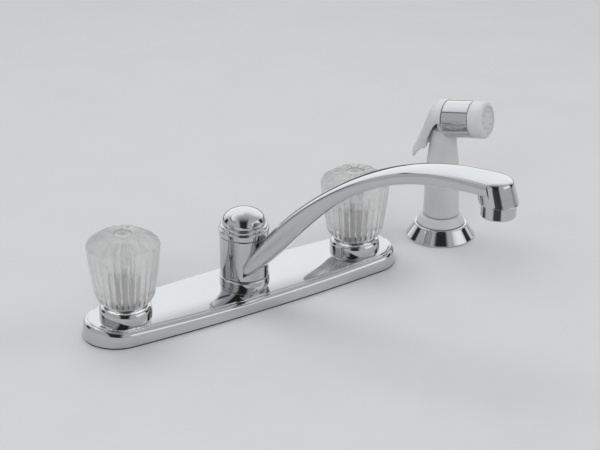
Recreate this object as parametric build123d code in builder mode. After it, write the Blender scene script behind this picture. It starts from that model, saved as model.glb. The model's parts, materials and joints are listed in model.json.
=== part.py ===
from build123d import *

import os
from math import asin, atan2, cos, degrees, radians, sin

# Two handle kitchen faucet: deck plate, clear fluted knobs, swinging spout and side spray.
# Millimetres. X runs along the deck plate towards the right handle, -Y is the sink side, Z is up.
# The origin lies on the spout's swivel axis, in the face of the sink deck that the gasket rests on.

# ---------------------------------------------------------------- driving dimensions
HANDLE_SPACING = 203.2  # between the two handle axes
HANDLE_X = HANDLE_SPACING / 2
RUNNING = 0.05  # radial clearance of a shaft that turns or slides
LOOSE = 0.3  # clearance between pieces that pass without touching
SNUG = 0.1  # clearance of threads and of pieces that are pushed together

# Deck plate and gasket
PLATE_END_BEYOND = 6.9  # centre of the round end, outside the handle axis
PLATE_END_R = 26.2
PLATE_HALF_W = 30.1  # half width at the spout, where the sides bow out
PLATE_TOP = 14.3
RIM_TOP = 12.0  # top of the outer wall, below the raised middle
RIM_DRAFT = 7.5  # how far the outer wall leans in, in degrees
STEP_INSET = 4.4  # where the raised middle starts
PLATE_WALL = 2.4
CAVITY_DRAFT = 15.0
ROOF_T = 2.5
RIM_ROUND = 1.6
STEP_ROUND = 0.9
GASKET_T = 1.2
GASKET_INSET = 0.8
GASKET_CENTRE_HOLE_R = 12.0

# Waterway casting
DUCT_W = 15.0
DUCT_H = 9.6
DUCT_BORE_R = 3.2
VALVE_BODY_R = 16.0
NECK_R = 12.0
NECK_TOP = 20.6
CHAMBER_R = 8.65
CHAMBER_FLOOR = 7.6
SEAT_POCKET_R = 4.6
SEAT_POCKET_FLOOR = -5.0
SEAT_PORT_R = 2.4
SHANK_R = 10.45
SHANK_TAIL_R = 10.2
SHANK_TAIL_TOP = -27.0
SHANK_BOTTOM = -48.0
SHANK_BORE_R = 6.5

# Spout post, glide ring and nut
POST_R = 12.5
POST_TOP = 51.4
POST_BORE_R = 7.8
POST_BORE_FLOOR = 5.4
POST_NECK_R = 9.8
POST_NECK_TOP = 61.0
POST_HOLE_R = 13.2  # hole in the deck plate
PORT_R = 4.0
PORT_Z = 35.0
PORT_GROOVE_R = 10.8
PORT_GROOVE_HALF_H = 5.5
O_RING_D = 1.85
O_RING_GROOVE_H = 2.3
LOWER_O_RING_Z = 24.8
UPPER_O_RING_Z = 47.0
GLIDE_RING_R = 19.0
GLIDE_RING_TOP = 19.3
GLIDE_ROUND = 1.4
NUT_FLANGE_R = 18.9
NUT_FLANGE_TOP = 57.2
NUT_BAND_R = 17.9
NUT_BAND_TOP = 60.0
DOME_R = 16.4
DOME_FOOT = 61.4
DOME_TOP = 71.6
DOME_CAP_R = 20.0
DOME_SHOULDER_R = 13.0

# Spout
SPOUT_HEADING = -64.2  # where the spout points, from +X
HUB_R = 18.4
HUB_TOP = 51.6
TIP_REACH = 199.1
TIP_R = 12.9
OUTLET_LEAN = 4.1  # the outlet's foot is this much further out than the tip
OUTLET_REACH = TIP_REACH + OUTLET_LEAN
OUTLET_R = 13.75
OUTLET_BOTTOM = 121.4
BOSS_START = 137.0
ARM_START = 9.0
ARM_ROOT_TOP = 36.0
ARM_ROOT_LOW = 20.5
ARM_CREST = 139.3  # highest point of the arm
ARM_ROOT_HALF_W = 14.0
ARM_MID_HALF_W = 9.8
ARM_TOP_ROUND = 2.6
ARM_DUCT_H = 5.0
ARM_DUCT_W = 10.0
BOSS_BORE_R = 8.5
BOSS_BORE_TOP = 132.5

# Aerator
AERATOR_R = 12.2
AERATOR_BOTTOM = 111.6
AERATOR_ROUND = 2.0
AERATOR_THREAD_R = 11.0
AERATOR_THREAD_TOP = 127.4
AERATOR_BORE_R = 9.4
AERATOR_LIP_R = 8.6
AERATOR_LIP_T = 1.2
AERATOR_INSERT_T = 5.0
AERATOR_JETS = 8
AERATOR_WASHER_T = 1.6

# Handles
BONNET_R = 19.5
BONNET_WALL_TOP = 16.0
BONNET_TOP = 22.9
BONNET_TOP_R = 13.4
STEM_R = CHAMBER_R - RUNNING
STEM_NECK_R = 6.05
STEM_NECK_TOP = 25.0
BROACH_R = 4.6
BROACH_TOP = 44.0
STEM_TAP_R = 1.65
STEM_TAP_BOTTOM = 31.0
STEM_O_RING_Z = 15.8
STEM_PORT_W = 6.0
STEM_PORT_H = 3.4
SPRING_WIRE = 0.9
SPRING_R = 3.6
SPRING_TURNS = 2.5
SEAT_H = 4.4
KNOB_BOTTOM = 23.8
KNOB_FOOT_R = 20.0
KNOB_WAIST_R = 20.6
KNOB_WAIST_Z = 26.4
KNOB_MID_R = 24.3
KNOB_MID_Z = 47.0
KNOB_SHOULDER_R = 26.6
KNOB_SHOULDER_Z = 68.5
KNOB_BROW_R = 25.6
KNOB_BROW_Z = 71.1
KNOB_TOP_R = 16.0
KNOB_TOP = 77.8
KNOB_FLUTES = 32
FLUTE_R = 2.6
FLUTE_DEPTH = 1.0
FLUTE_BOTTOM = 27.2
FLUTE_FADE_Z = 66.0
INSERT_R = 8.2
INSERT_BOTTOM = 25.6
INSERT_TOP = 50.0
INSERT_WEB = 4.0
SCREW_R = 1.6
SCREW_HEAD_R = 3.9
SCREW_HEAD_H = 2.6
SCREW_SEAT = 54.0
CAP_R = 6.9
CAP_T = 2.2

# Under the deck
DECK_T = 12.7
WASHER_R = 19.0
WASHER_T = 2.4
MOUNT_NUT_R = 15.0
MOUNT_NUT_H = 9.0
WING_REACH = 24.0
WING_W = 5.0
NIPPLE_R = 6.6
NIPPLE_HEAD_R = 8.0
NIPPLE_BOTTOM = -38.0
NIPPLE_BORE_R = 4.0
NIPPLE_HEAD_BOTTOM = 0.6
NIPPLE_TOP = 4.0
DIVERTER_R = POST_BORE_R - SNUG
DIVERTER_BORE_R = 4.8
DIVERTER_TOP = 46.0
DIVERTER_LEDGE = 14.0
POPPET_DISC_T = 5.0
POPPET_R = DIVERTER_BORE_R - LOOSE
POPPET_STEM_R = 2.2
POPPET_LIFT = 2.5

# Side spray holder
SPRAY_X = 190.4
SPRAY_Y = 4.2
HOLDER_FOOT_R = 27.5
HOLDER_FOOT_T = 1.4
HOLDER_RIM_R = 20.6
HOLDER_RIM_Z = 11.6
HOLDER_SHANK_R = 15.6
HOLDER_TAIL_R = 15.4
HOLDER_TAIL_TOP = -27.0
HOLDER_BOTTOM = -42.0
HOLDER_BORE_R = 13.4
HOLDER_CUP_R = 18.0
HOLDER_CUP_FLOOR = 3.0
LINER_BORE_R = 12.9
LINER_TOP = 18.7
LINER_TOP_R = 15.4
LINER_LIP_R = 20.0

# Side spray
SPRAY_HEADING = -64.2
GRIP_BOTTOM = 19.0
GRIP_FOOT_R = 14.3
GRIP_LOW_R = 13.9
GRIP_LOW_Z = 34.0
GRIP_MID_R = 12.8
GRIP_MID_Z = 63.0
GRIP_NECK_R = 10.3
GRIP_NECK_Z = 86.0
TAIL_R = 12.6
TAIL_END_R = 10.6
TAIL_BOTTOM = -4.0
SPRAY_BORE_R = 4.0
SPRAY_BORE_TOP = 78.0
HEAD_TILT = 9.1  # the head points a little upwards
HEAD_Z = 100.0  # where its axis crosses the grip's
HEAD_R = 14.7
BAND_START = 4.2
BAND_LENGTH = 22.0
BAND_WALL = 1.6
NOSE_LENGTH = 11.4
NOSE_ROUND = 3.4
NOSE_RECESS_R = 10.9
NOSE_RECESS = 0.7
FACE_T = 1.8
FACE_JETS = 8
FACE_JET_R = 0.75
FACE_JET_RING_R = 7.2
REAR_R = 11.6
REAR_LENGTH = 1.5
LEVER_R = 15.2
LEVER_WALL = 2.2
LEVER_LENGTH = 36.0  # from the head's axis down to the thumb end
LEVER_THUMB_HALF_W = 10.6
LEVER_SWEEP = 0.9  # room in front of its lower corners, which swing forwards
PIVOT_REACH = -2.0
PIVOT_Z = 107.0
PIVOT_R = 1.5
PIN_HALF_LENGTH = 12.2
PLUNGER_Z = 99.2
PLUNGER_R = 2.0
PLUNGER_REAR = -10.9
PLUNGER_FRONT = 6.0
HOSE_NIPPLE_R = 5.5
HOSE_NIPPLE_LENGTH = 17.0

# ---------------------------------------------------------------- worked out from them
PLATE_END_X = HANDLE_X + PLATE_END_BEYOND
ROOF = PLATE_TOP - ROOF_T
BODY_BOTTOM = GASKET_T
BODY_SHOULDER = ROOF
DUCT_Z = BODY_BOTTOM + DUCT_H / 2
HUB_BOTTOM = GLIDE_RING_TOP + LOOSE
HUB_BORE_R = POST_R + RUNNING
HANDLE_AXES = ((-HANDLE_X, 0), (HANDLE_X, 0))
DOME_LEAN = degrees(asin(DOME_SHOULDER_R / DOME_CAP_R))
DOME_SHOULDER_Z = DOME_TOP - DOME_CAP_R * (1 - cos(radians(DOME_LEAN)))
WASHER_BOTTOM = -DECK_T - WASHER_T
MOUNT_NUT_BOTTOM = WASHER_BOTTOM - MOUNT_NUT_H
DIVERTER_BOTTOM = CHAMBER_FLOOR + DUCT_BORE_R + LOOSE
POPPET_BOTTOM = DIVERTER_LEDGE
POPPET_TOP = DIVERTER_TOP - POPPET_LIFT - LOOSE


def turning_plane(x=0.0, y=0.0):
    """Upright plane through the vertical axis at x, y, for profiles that are turned about it."""
    return Plane(origin=(x, y, 0), x_dir=(1, 0, 0), z_dir=(0, -1, 0))


def upright_axis(x=0.0, y=0.0):
    """Vertical axis at x, y."""
    return Axis((x, y, 0), (0, 0, 1))


def side_plane(heading, x=0.0, y=0.0):
    """Upright plane through x, y: its own x runs level along the heading, its own y runs up."""
    turn = radians(heading)
    return Plane(origin=(x, y, 0), x_dir=(cos(turn), sin(turn), 0), z_dir=(sin(turn), -cos(turn), 0))


def level_plane(height, heading=0.0):
    """Level plane at a height: its own x runs along the heading."""
    turn = radians(heading)
    return Plane(origin=(0, 0, height), x_dir=(cos(turn), sin(turn), 0), z_dir=(0, 0, 1))


def arm_point(reach, height):
    """Point of the arm's side view, in shares of the tip's reach and of the arm's highest point."""
    return (reach * TIP_REACH, height * ARM_CREST)


def lever_point(forward, up):
    """Point of the lever's side view from the head's axis, in shares of the lever's radius."""
    return (forward * LEVER_R, HEAD_Z + up * LEVER_R)


def plate_outline(height, inset):
    """Outline of the deck plate: two round ends joined by sides that bow out a little."""
    end_r = PLATE_END_R - inset
    half_w = PLATE_HALF_W - inset
    side_r = (PLATE_END_X**2 + half_w**2 - end_r**2) / (2 * (half_w - end_r))
    lean = atan2(PLATE_END_X, side_r - half_w)
    join_x = PLATE_END_X + end_r * sin(lean)
    join_y = end_r * cos(lean)
    with BuildSketch(Plane.XY.offset(height)) as outline:
        with BuildLine():
            ThreePointArc((join_x, join_y), (0, half_w), (-join_x, join_y))
            ThreePointArc((-join_x, join_y), (-PLATE_END_X - end_r, 0), (-join_x, -join_y))
            ThreePointArc((-join_x, -join_y), (0, -half_w), (join_x, -join_y))
            ThreePointArc((join_x, -join_y), (PLATE_END_X + end_r, 0), (join_x, join_y))
        make_face()
    return outline.sketch


# ---------------------------------------------------------------- deck plate and gasket
with BuildPart() as deck_plate:
    extrude(plate_outline(GASKET_T, 0), amount=RIM_TOP - GASKET_T, taper=RIM_DRAFT)
    fillet(faces().sort_by(Axis.Z)[-1].edges(), radius=RIM_ROUND)
    extrude(plate_outline(RIM_TOP, STEP_INSET), amount=PLATE_TOP - RIM_TOP)
    fillet(faces().sort_by(Axis.Z)[-1].edges(), radius=STEP_ROUND)
    cavity = plate_outline(GASKET_T, PLATE_WALL)
    extrude(cavity, amount=ROOF - GASKET_T, taper=CAVITY_DRAFT, mode=Mode.SUBTRACT)
    with BuildSketch(Plane.XY.offset(ROOF)):
        with Locations(*HANDLE_AXES):
            Circle(NECK_R + LOOSE)
        Circle(POST_HOLE_R)
    extrude(amount=ROOF_T, mode=Mode.SUBTRACT)

with BuildPart() as deck_gasket:
    extrude(plate_outline(0, GASKET_INSET), amount=GASKET_T)
    with BuildSketch():
        with Locations(*HANDLE_AXES):
            Circle(SHANK_R + 2 * LOOSE)
        Circle(GASKET_CENTRE_HOLE_R)
    extrude(amount=GASKET_T, mode=Mode.SUBTRACT)

# ---------------------------------------------------------------- waterway casting
with BuildPart() as waterway_body:
    with BuildSketch(Plane.YZ):
        with Locations((0, DUCT_Z)):
            Rectangle(DUCT_W, DUCT_H)
    extrude(amount=HANDLE_X, both=True)
    with BuildSketch(Plane.XY.offset(BODY_BOTTOM)):
        with Locations(*HANDLE_AXES, (0, 0)):
            Circle(VALVE_BODY_R)
    extrude(amount=BODY_SHOULDER - BODY_BOTTOM)
    with BuildSketch(Plane.XY.offset(BODY_SHOULDER)):
        with Locations(*HANDLE_AXES):
            Circle(NECK_R)
    extrude(amount=NECK_TOP - BODY_SHOULDER)
    with BuildSketch(Plane.XY.offset(SHANK_TAIL_TOP)):
        with Locations(*HANDLE_AXES):
            Circle(SHANK_R)
    extrude(amount=BODY_BOTTOM - SHANK_TAIL_TOP)
    with BuildSketch(Plane.XY.offset(SHANK_BOTTOM)):
        with Locations(*HANDLE_AXES):
            Circle(SHANK_TAIL_R)
    extrude(amount=SHANK_TAIL_TOP - SHANK_BOTTOM)
    with BuildSketch(Plane.XY.offset(BODY_SHOULDER)):
        Circle(POST_R)
    extrude(amount=POST_TOP - BODY_SHOULDER)
    with BuildSketch(Plane.XY.offset(POST_TOP)):
        Circle(POST_NECK_R)
    extrude(amount=POST_NECK_TOP - POST_TOP)
    # Valve chambers, seat pockets and inlet bores
    with BuildSketch(Plane.XY.offset(CHAMBER_FLOOR)):
        with Locations(*HANDLE_AXES):
            Circle(CHAMBER_R)
    extrude(amount=NECK_TOP - CHAMBER_FLOOR, mode=Mode.SUBTRACT)
    with BuildSketch(Plane.XY.offset(SEAT_POCKET_FLOOR)):
        with Locations(*HANDLE_AXES):
            Circle(SEAT_POCKET_R)
    extrude(amount=CHAMBER_FLOOR - SEAT_POCKET_FLOOR, mode=Mode.SUBTRACT)
    with BuildSketch(Plane.XY.offset(SHANK_BOTTOM)):
        with Locations(*HANDLE_AXES):
            Circle(SHANK_BORE_R)
    extrude(amount=SEAT_POCKET_FLOOR - 2 - SHANK_BOTTOM, mode=Mode.SUBTRACT)
    with BuildSketch(Plane.XY.offset(SHANK_BOTTOM)):
        with Locations(*HANDLE_AXES):
            Circle(SEAT_PORT_R)
    extrude(amount=SEAT_POCKET_FLOOR - SHANK_BOTTOM, mode=Mode.SUBTRACT)
    # Post bore, the duct from both chambers, the outlet ports and the grooves
    with BuildSketch(Plane.XY.offset(POST_BORE_FLOOR)):
        Circle(POST_BORE_R)
    extrude(amount=POST_NECK_TOP - POST_BORE_FLOOR, mode=Mode.SUBTRACT)
    with BuildSketch(Plane.YZ):
        with Locations((0, CHAMBER_FLOOR)):
            Circle(DUCT_BORE_R)
    extrude(amount=HANDLE_X - CHAMBER_R + 3, both=True, mode=Mode.SUBTRACT)
    with BuildSketch(Plane.YZ):
        with Locations((0, PORT_Z)):
            Circle(PORT_R)
    extrude(amount=POST_R + 1, both=True, mode=Mode.SUBTRACT)
    with BuildSketch(Plane.XZ):
        with BuildLine():
            Polyline(
                (PORT_GROOVE_R, PORT_Z - PORT_GROOVE_HALF_H),
                (POST_R + 1, PORT_Z - PORT_GROOVE_HALF_H),
                (POST_R + 1, PORT_Z + PORT_GROOVE_HALF_H),
                (PORT_GROOVE_R, PORT_Z + PORT_GROOVE_HALF_H),
                close=True,
            )
        make_face()
        for groove_z in (LOWER_O_RING_Z, UPPER_O_RING_Z):
            with Locations((POST_R, groove_z)):
                Rectangle(2 * O_RING_D, O_RING_GROOVE_H)
    revolve(axis=Axis.Z, mode=Mode.SUBTRACT)
    # Socket of the spray outlet, below the post
    with BuildSketch(Plane.XY.offset(BODY_BOTTOM)):
        Circle(NIPPLE_HEAD_R + SNUG)
    extrude(amount=NIPPLE_TOP - BODY_BOTTOM, mode=Mode.SUBTRACT)
    with BuildSketch(Plane.XY.offset(BODY_BOTTOM)):
        Circle(NIPPLE_BORE_R)
    extrude(amount=POST_BORE_FLOOR - BODY_BOTTOM, mode=Mode.SUBTRACT)

with BuildPart() as spray_outlet_nipple:
    with BuildSketch(Plane.XY.offset(NIPPLE_BOTTOM)):
        Circle(NIPPLE_R)
    extrude(amount=NIPPLE_HEAD_BOTTOM - NIPPLE_BOTTOM)
    with BuildSketch(Plane.XY.offset(NIPPLE_HEAD_BOTTOM)):
        Circle(NIPPLE_HEAD_R)
    extrude(amount=NIPPLE_TOP - NIPPLE_HEAD_BOTTOM)
    with BuildSketch(Plane.XY.offset(NIPPLE_BOTTOM)):
        Circle(NIPPLE_BORE_R)
    extrude(amount=NIPPLE_TOP - NIPPLE_BOTTOM, mode=Mode.SUBTRACT)

with BuildPart() as diverter_housing:
    with BuildSketch(Plane.XY.offset(DIVERTER_BOTTOM)):
        Circle(DIVERTER_R)
    extrude(amount=DIVERTER_TOP - DIVERTER_BOTTOM)
    with BuildSketch(Plane.XY.offset(DIVERTER_LEDGE)):
        Circle(DIVERTER_BORE_R)
    extrude(amount=DIVERTER_TOP - DIVERTER_LEDGE, mode=Mode.SUBTRACT)
    with BuildSketch(Plane.XY.offset(DIVERTER_BOTTOM)):
        Circle(DUCT_BORE_R)
    extrude(amount=DIVERTER_LEDGE - DIVERTER_BOTTOM, mode=Mode.SUBTRACT)
    with BuildSketch(Plane.YZ):
        with Locations((0, PORT_Z)):
            Circle(PORT_R)
    extrude(amount=DIVERTER_R + 1, both=True, mode=Mode.SUBTRACT)

with BuildPart() as diverter_poppet:
    with BuildSketch(Plane.XZ):
        with BuildLine():
            Polyline(
                (0, POPPET_BOTTOM),
                (POPPET_R, POPPET_BOTTOM),
                (POPPET_R, POPPET_BOTTOM + POPPET_DISC_T),
                (POPPET_STEM_R, POPPET_BOTTOM + POPPET_DISC_T + 2),
                (POPPET_STEM_R, POPPET_TOP - POPPET_DISC_T),
                (POPPET_R, POPPET_TOP - POPPET_DISC_T + 2),
                (POPPET_R, POPPET_TOP),
                (0, POPPET_TOP),
                close=True,
            )
        make_face()
    revolve(axis=Axis.Z)

with BuildPart() as spout_o_rings:
    with BuildSketch(Plane.XZ):
        for ring_z in (LOWER_O_RING_Z, UPPER_O_RING_Z):
            with Locations((POST_R - O_RING_D / 2 + RUNNING / 2, ring_z)):
                RegularPolygon(O_RING_D / 2, 8)
    revolve(axis=Axis.Z)

with BuildPart() as glide_ring:
    with BuildSketch(Plane.XY.offset(PLATE_TOP)):
        Circle(GLIDE_RING_R)
        Circle(POST_R + SNUG, mode=Mode.SUBTRACT)
    extrude(amount=GLIDE_RING_TOP - PLATE_TOP)
    outer_edges = edges().filter_by(GeomType.CIRCLE).sort_by(SortBy.RADIUS)[-2:]
    fillet(outer_edges.sort_by(Axis.Z)[-1:], radius=GLIDE_ROUND)

with BuildPart() as spout_nut:
    with BuildSketch(Plane.XZ):
        with BuildLine():
            Polyline(
                (0, POST_NECK_TOP + LOOSE),
                (POST_NECK_R + SNUG, POST_NECK_TOP + LOOSE),
                (POST_NECK_R + SNUG, HUB_TOP + LOOSE),
                (NUT_FLANGE_R - 0.6, HUB_TOP + LOOSE),
                (NUT_FLANGE_R, HUB_TOP + LOOSE + 0.7),
                (NUT_FLANGE_R, NUT_FLANGE_TOP - 0.7),
                (NUT_FLANGE_R - 0.7, NUT_FLANGE_TOP),
                (NUT_BAND_R - 0.5, NUT_FLANGE_TOP),
                (NUT_BAND_R, NUT_FLANGE_TOP + 0.6),
                (NUT_BAND_R, NUT_BAND_TOP - 0.6),
                (NUT_BAND_R - 0.7, NUT_BAND_TOP),
                (DOME_R - 0.4, NUT_BAND_TOP),
                (DOME_R, DOME_FOOT),
            )
            ThreePointArc(
                (DOME_R, DOME_FOOT),
                ((DOME_R + DOME_SHOULDER_R) / 2 + 0.9, (DOME_FOOT + DOME_SHOULDER_Z) / 2 + 0.6),
                (DOME_SHOULDER_R, DOME_SHOULDER_Z),
            )
            CenterArc((0, DOME_TOP - DOME_CAP_R), DOME_CAP_R, 90 - DOME_LEAN, DOME_LEAN)
            Line((0, DOME_TOP), (0, POST_NECK_TOP + LOOSE))
        make_face()
    revolve(axis=Axis.Z)

# ---------------------------------------------------------------- handles, each turned about Z at x = 0
with BuildPart() as bonnet:
    with BuildSketch(Plane.XZ):
        with BuildLine():
            Polyline(
                (NECK_R + SNUG, PLATE_TOP),
                (BONNET_R, PLATE_TOP),
                (BONNET_R, BONNET_WALL_TOP),
            )
            RadiusArc(
                (BONNET_R, BONNET_WALL_TOP),
                (BONNET_TOP_R, BONNET_TOP),
                -(BONNET_TOP - BONNET_WALL_TOP) * 1.08,
            )
            Polyline(
                (BONNET_TOP_R, BONNET_TOP),
                (STEM_NECK_R + RUNNING, BONNET_TOP),
                (STEM_NECK_R + RUNNING, NECK_TOP + SNUG),
                (NECK_R + SNUG, NECK_TOP + SNUG),
                (NECK_R + SNUG, PLATE_TOP),
            )
        make_face()
    revolve(axis=Axis.Z)

with BuildPart() as stem:
    with BuildSketch(Plane.XY.offset(CHAMBER_FLOOR + SNUG)):
        Circle(STEM_R)
    extrude(amount=NECK_TOP - CHAMBER_FLOOR - SNUG)
    with BuildSketch(Plane.XY.offset(NECK_TOP)):
        Circle(STEM_NECK_R)
    extrude(amount=STEM_NECK_TOP - NECK_TOP)
    with BuildSketch(Plane.XY.offset(STEM_NECK_TOP)):
        Circle(BROACH_R)
    extrude(amount=BROACH_TOP - STEM_NECK_TOP)
    with BuildSketch(Plane.XY.offset(BROACH_TOP)):
        Circle(STEM_TAP_R)
    extrude(amount=STEM_TAP_BOTTOM - BROACH_TOP, mode=Mode.SUBTRACT)
    with BuildSketch(Plane.XZ):
        with Locations((STEM_R, STEM_O_RING_Z)):
            Rectangle(2 * O_RING_D, O_RING_GROOVE_H)
    revolve(axis=Axis.Z, mode=Mode.SUBTRACT)
    # Flow notch across the foot of the stem
    with BuildSketch(Plane.XY.offset(CHAMBER_FLOOR)):
        with Locations((0, STEM_R)):
            Rectangle(STEM_PORT_W, STEM_R)
    extrude(amount=STEM_PORT_H, mode=Mode.SUBTRACT)

with BuildPart() as stem_o_ring:
    with BuildSketch(Plane.XZ):
        with Locations((STEM_R - O_RING_D / 2 + RUNNING / 2, STEM_O_RING_Z)):
            RegularPolygon(O_RING_D / 2, 8)
    revolve(axis=Axis.Z)

with BuildPart() as valve_seat:
    with BuildSketch(Plane.XY.offset(CHAMBER_FLOOR - SEAT_H)):
        Circle(SEAT_POCKET_R - SNUG)
        Circle(SEAT_PORT_R, mode=Mode.SUBTRACT)
    extrude(amount=SEAT_H)

SPRING_BOTTOM = SEAT_POCKET_FLOOR + SPRING_WIRE / 2 + SNUG
SPRING_HEIGHT = CHAMBER_FLOOR - SEAT_H - SNUG - SPRING_WIRE / 2 - SPRING_BOTTOM
with BuildPart() as seat_spring:
    with BuildLine(Plane.XY.offset(SPRING_BOTTOM)) as spring_coil:
        Helix(pitch=SPRING_HEIGHT / SPRING_TURNS, height=SPRING_HEIGHT, radius=SPRING_R)
    with BuildSketch(Plane(origin=spring_coil.line @ 0, z_dir=spring_coil.line % 0)):
        Rectangle(SPRING_WIRE, SPRING_WIRE)
    sweep(is_frenet=True)

# One flute cutter: a round bar that leans with the knob's side and runs out near the shoulder
FLUTE_START = Vector(KNOB_WAIST_R + 0.4 - FLUTE_DEPTH + FLUTE_R, 0, FLUTE_BOTTOM)
FLUTE_END = Vector(KNOB_SHOULDER_R + FLUTE_R, 0, FLUTE_FADE_Z)
with BuildPart() as flute_cutter:
    with BuildSketch(Plane(origin=FLUTE_START, z_dir=FLUTE_END - FLUTE_START)):
        Circle(FLUTE_R)
    extrude(amount=(FLUTE_END - FLUTE_START).length)

with BuildPart() as knob:
    with BuildSketch(Plane.XZ):
        with BuildLine():
            Polyline((0, KNOB_BOTTOM), (KNOB_FOOT_R, KNOB_BOTTOM), (KNOB_WAIST_R, KNOB_WAIST_Z))
            ThreePointArc(
                (KNOB_WAIST_R, KNOB_WAIST_Z), (KNOB_MID_R, KNOB_MID_Z), (KNOB_SHOULDER_R, KNOB_SHOULDER_Z)
            )
            Line((KNOB_SHOULDER_R, KNOB_SHOULDER_Z), (KNOB_BROW_R, KNOB_BROW_Z))
            Polyline((KNOB_BROW_R, KNOB_BROW_Z), (KNOB_TOP_R, KNOB_TOP), (0, KNOB_TOP), (0, KNOB_BOTTOM))
        make_face()
        fillet(vertices().sort_by(lambda corner: -corner.X)[0:2], radius=3.0)
    revolve(axis=Axis.Z)
    with PolarLocations(0, KNOB_FLUTES):
        add(flute_cutter.part, mode=Mode.SUBTRACT)
    with BuildSketch(Plane.XY.offset(KNOB_BOTTOM)):
        Circle(INSERT_R + RUNNING)
    extrude(amount=INSERT_TOP - KNOB_BOTTOM, mode=Mode.SUBTRACT)
    with BuildSketch(Plane.XY.offset(INSERT_TOP)):
        Circle(SCREW_R + LOOSE)
    extrude(amount=SCREW_SEAT - INSERT_TOP, mode=Mode.SUBTRACT)
    with BuildSketch(Plane.XY.offset(SCREW_SEAT)):
        Circle(SCREW_HEAD_R + LOOSE)
    extrude(amount=KNOB_TOP - SCREW_SEAT, mode=Mode.SUBTRACT)
    with BuildSketch(Plane.XY.offset(KNOB_TOP - CAP_T)):
        Circle(CAP_R + SNUG)
    extrude(amount=CAP_T, mode=Mode.SUBTRACT)

with BuildPart() as handle_insert:
    with BuildSketch(Plane.XY.offset(INSERT_BOTTOM)):
        Circle(INSERT_R)
    extrude(amount=INSERT_TOP - INSERT_BOTTOM)
    with BuildSketch(Plane.XY.offset(INSERT_BOTTOM)):
        Circle(BROACH_R + RUNNING)
    extrude(amount=INSERT_TOP - INSERT_WEB - INSERT_BOTTOM, mode=Mode.SUBTRACT)
    with BuildSketch(Plane.XY.offset(INSERT_BOTTOM)):
        Circle(SCREW_R + LOOSE)
    extrude(amount=INSERT_TOP - INSERT_BOTTOM, mode=Mode.SUBTRACT)

with BuildPart() as handle_screw:
    with BuildSketch(Plane.XY.offset(STEM_TAP_BOTTOM + 2)):
        Circle(SCREW_R)
    extrude(amount=SCREW_SEAT - STEM_TAP_BOTTOM - 2)
    with BuildSketch(Plane.XY.offset(SCREW_SEAT)):
        Circle(SCREW_HEAD_R)
    extrude(amount=SCREW_HEAD_H)

with BuildPart() as index_cap:
    with BuildSketch(Plane.XY.offset(KNOB_TOP - CAP_T)):
        Circle(CAP_R)
    extrude(amount=CAP_T)

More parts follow.
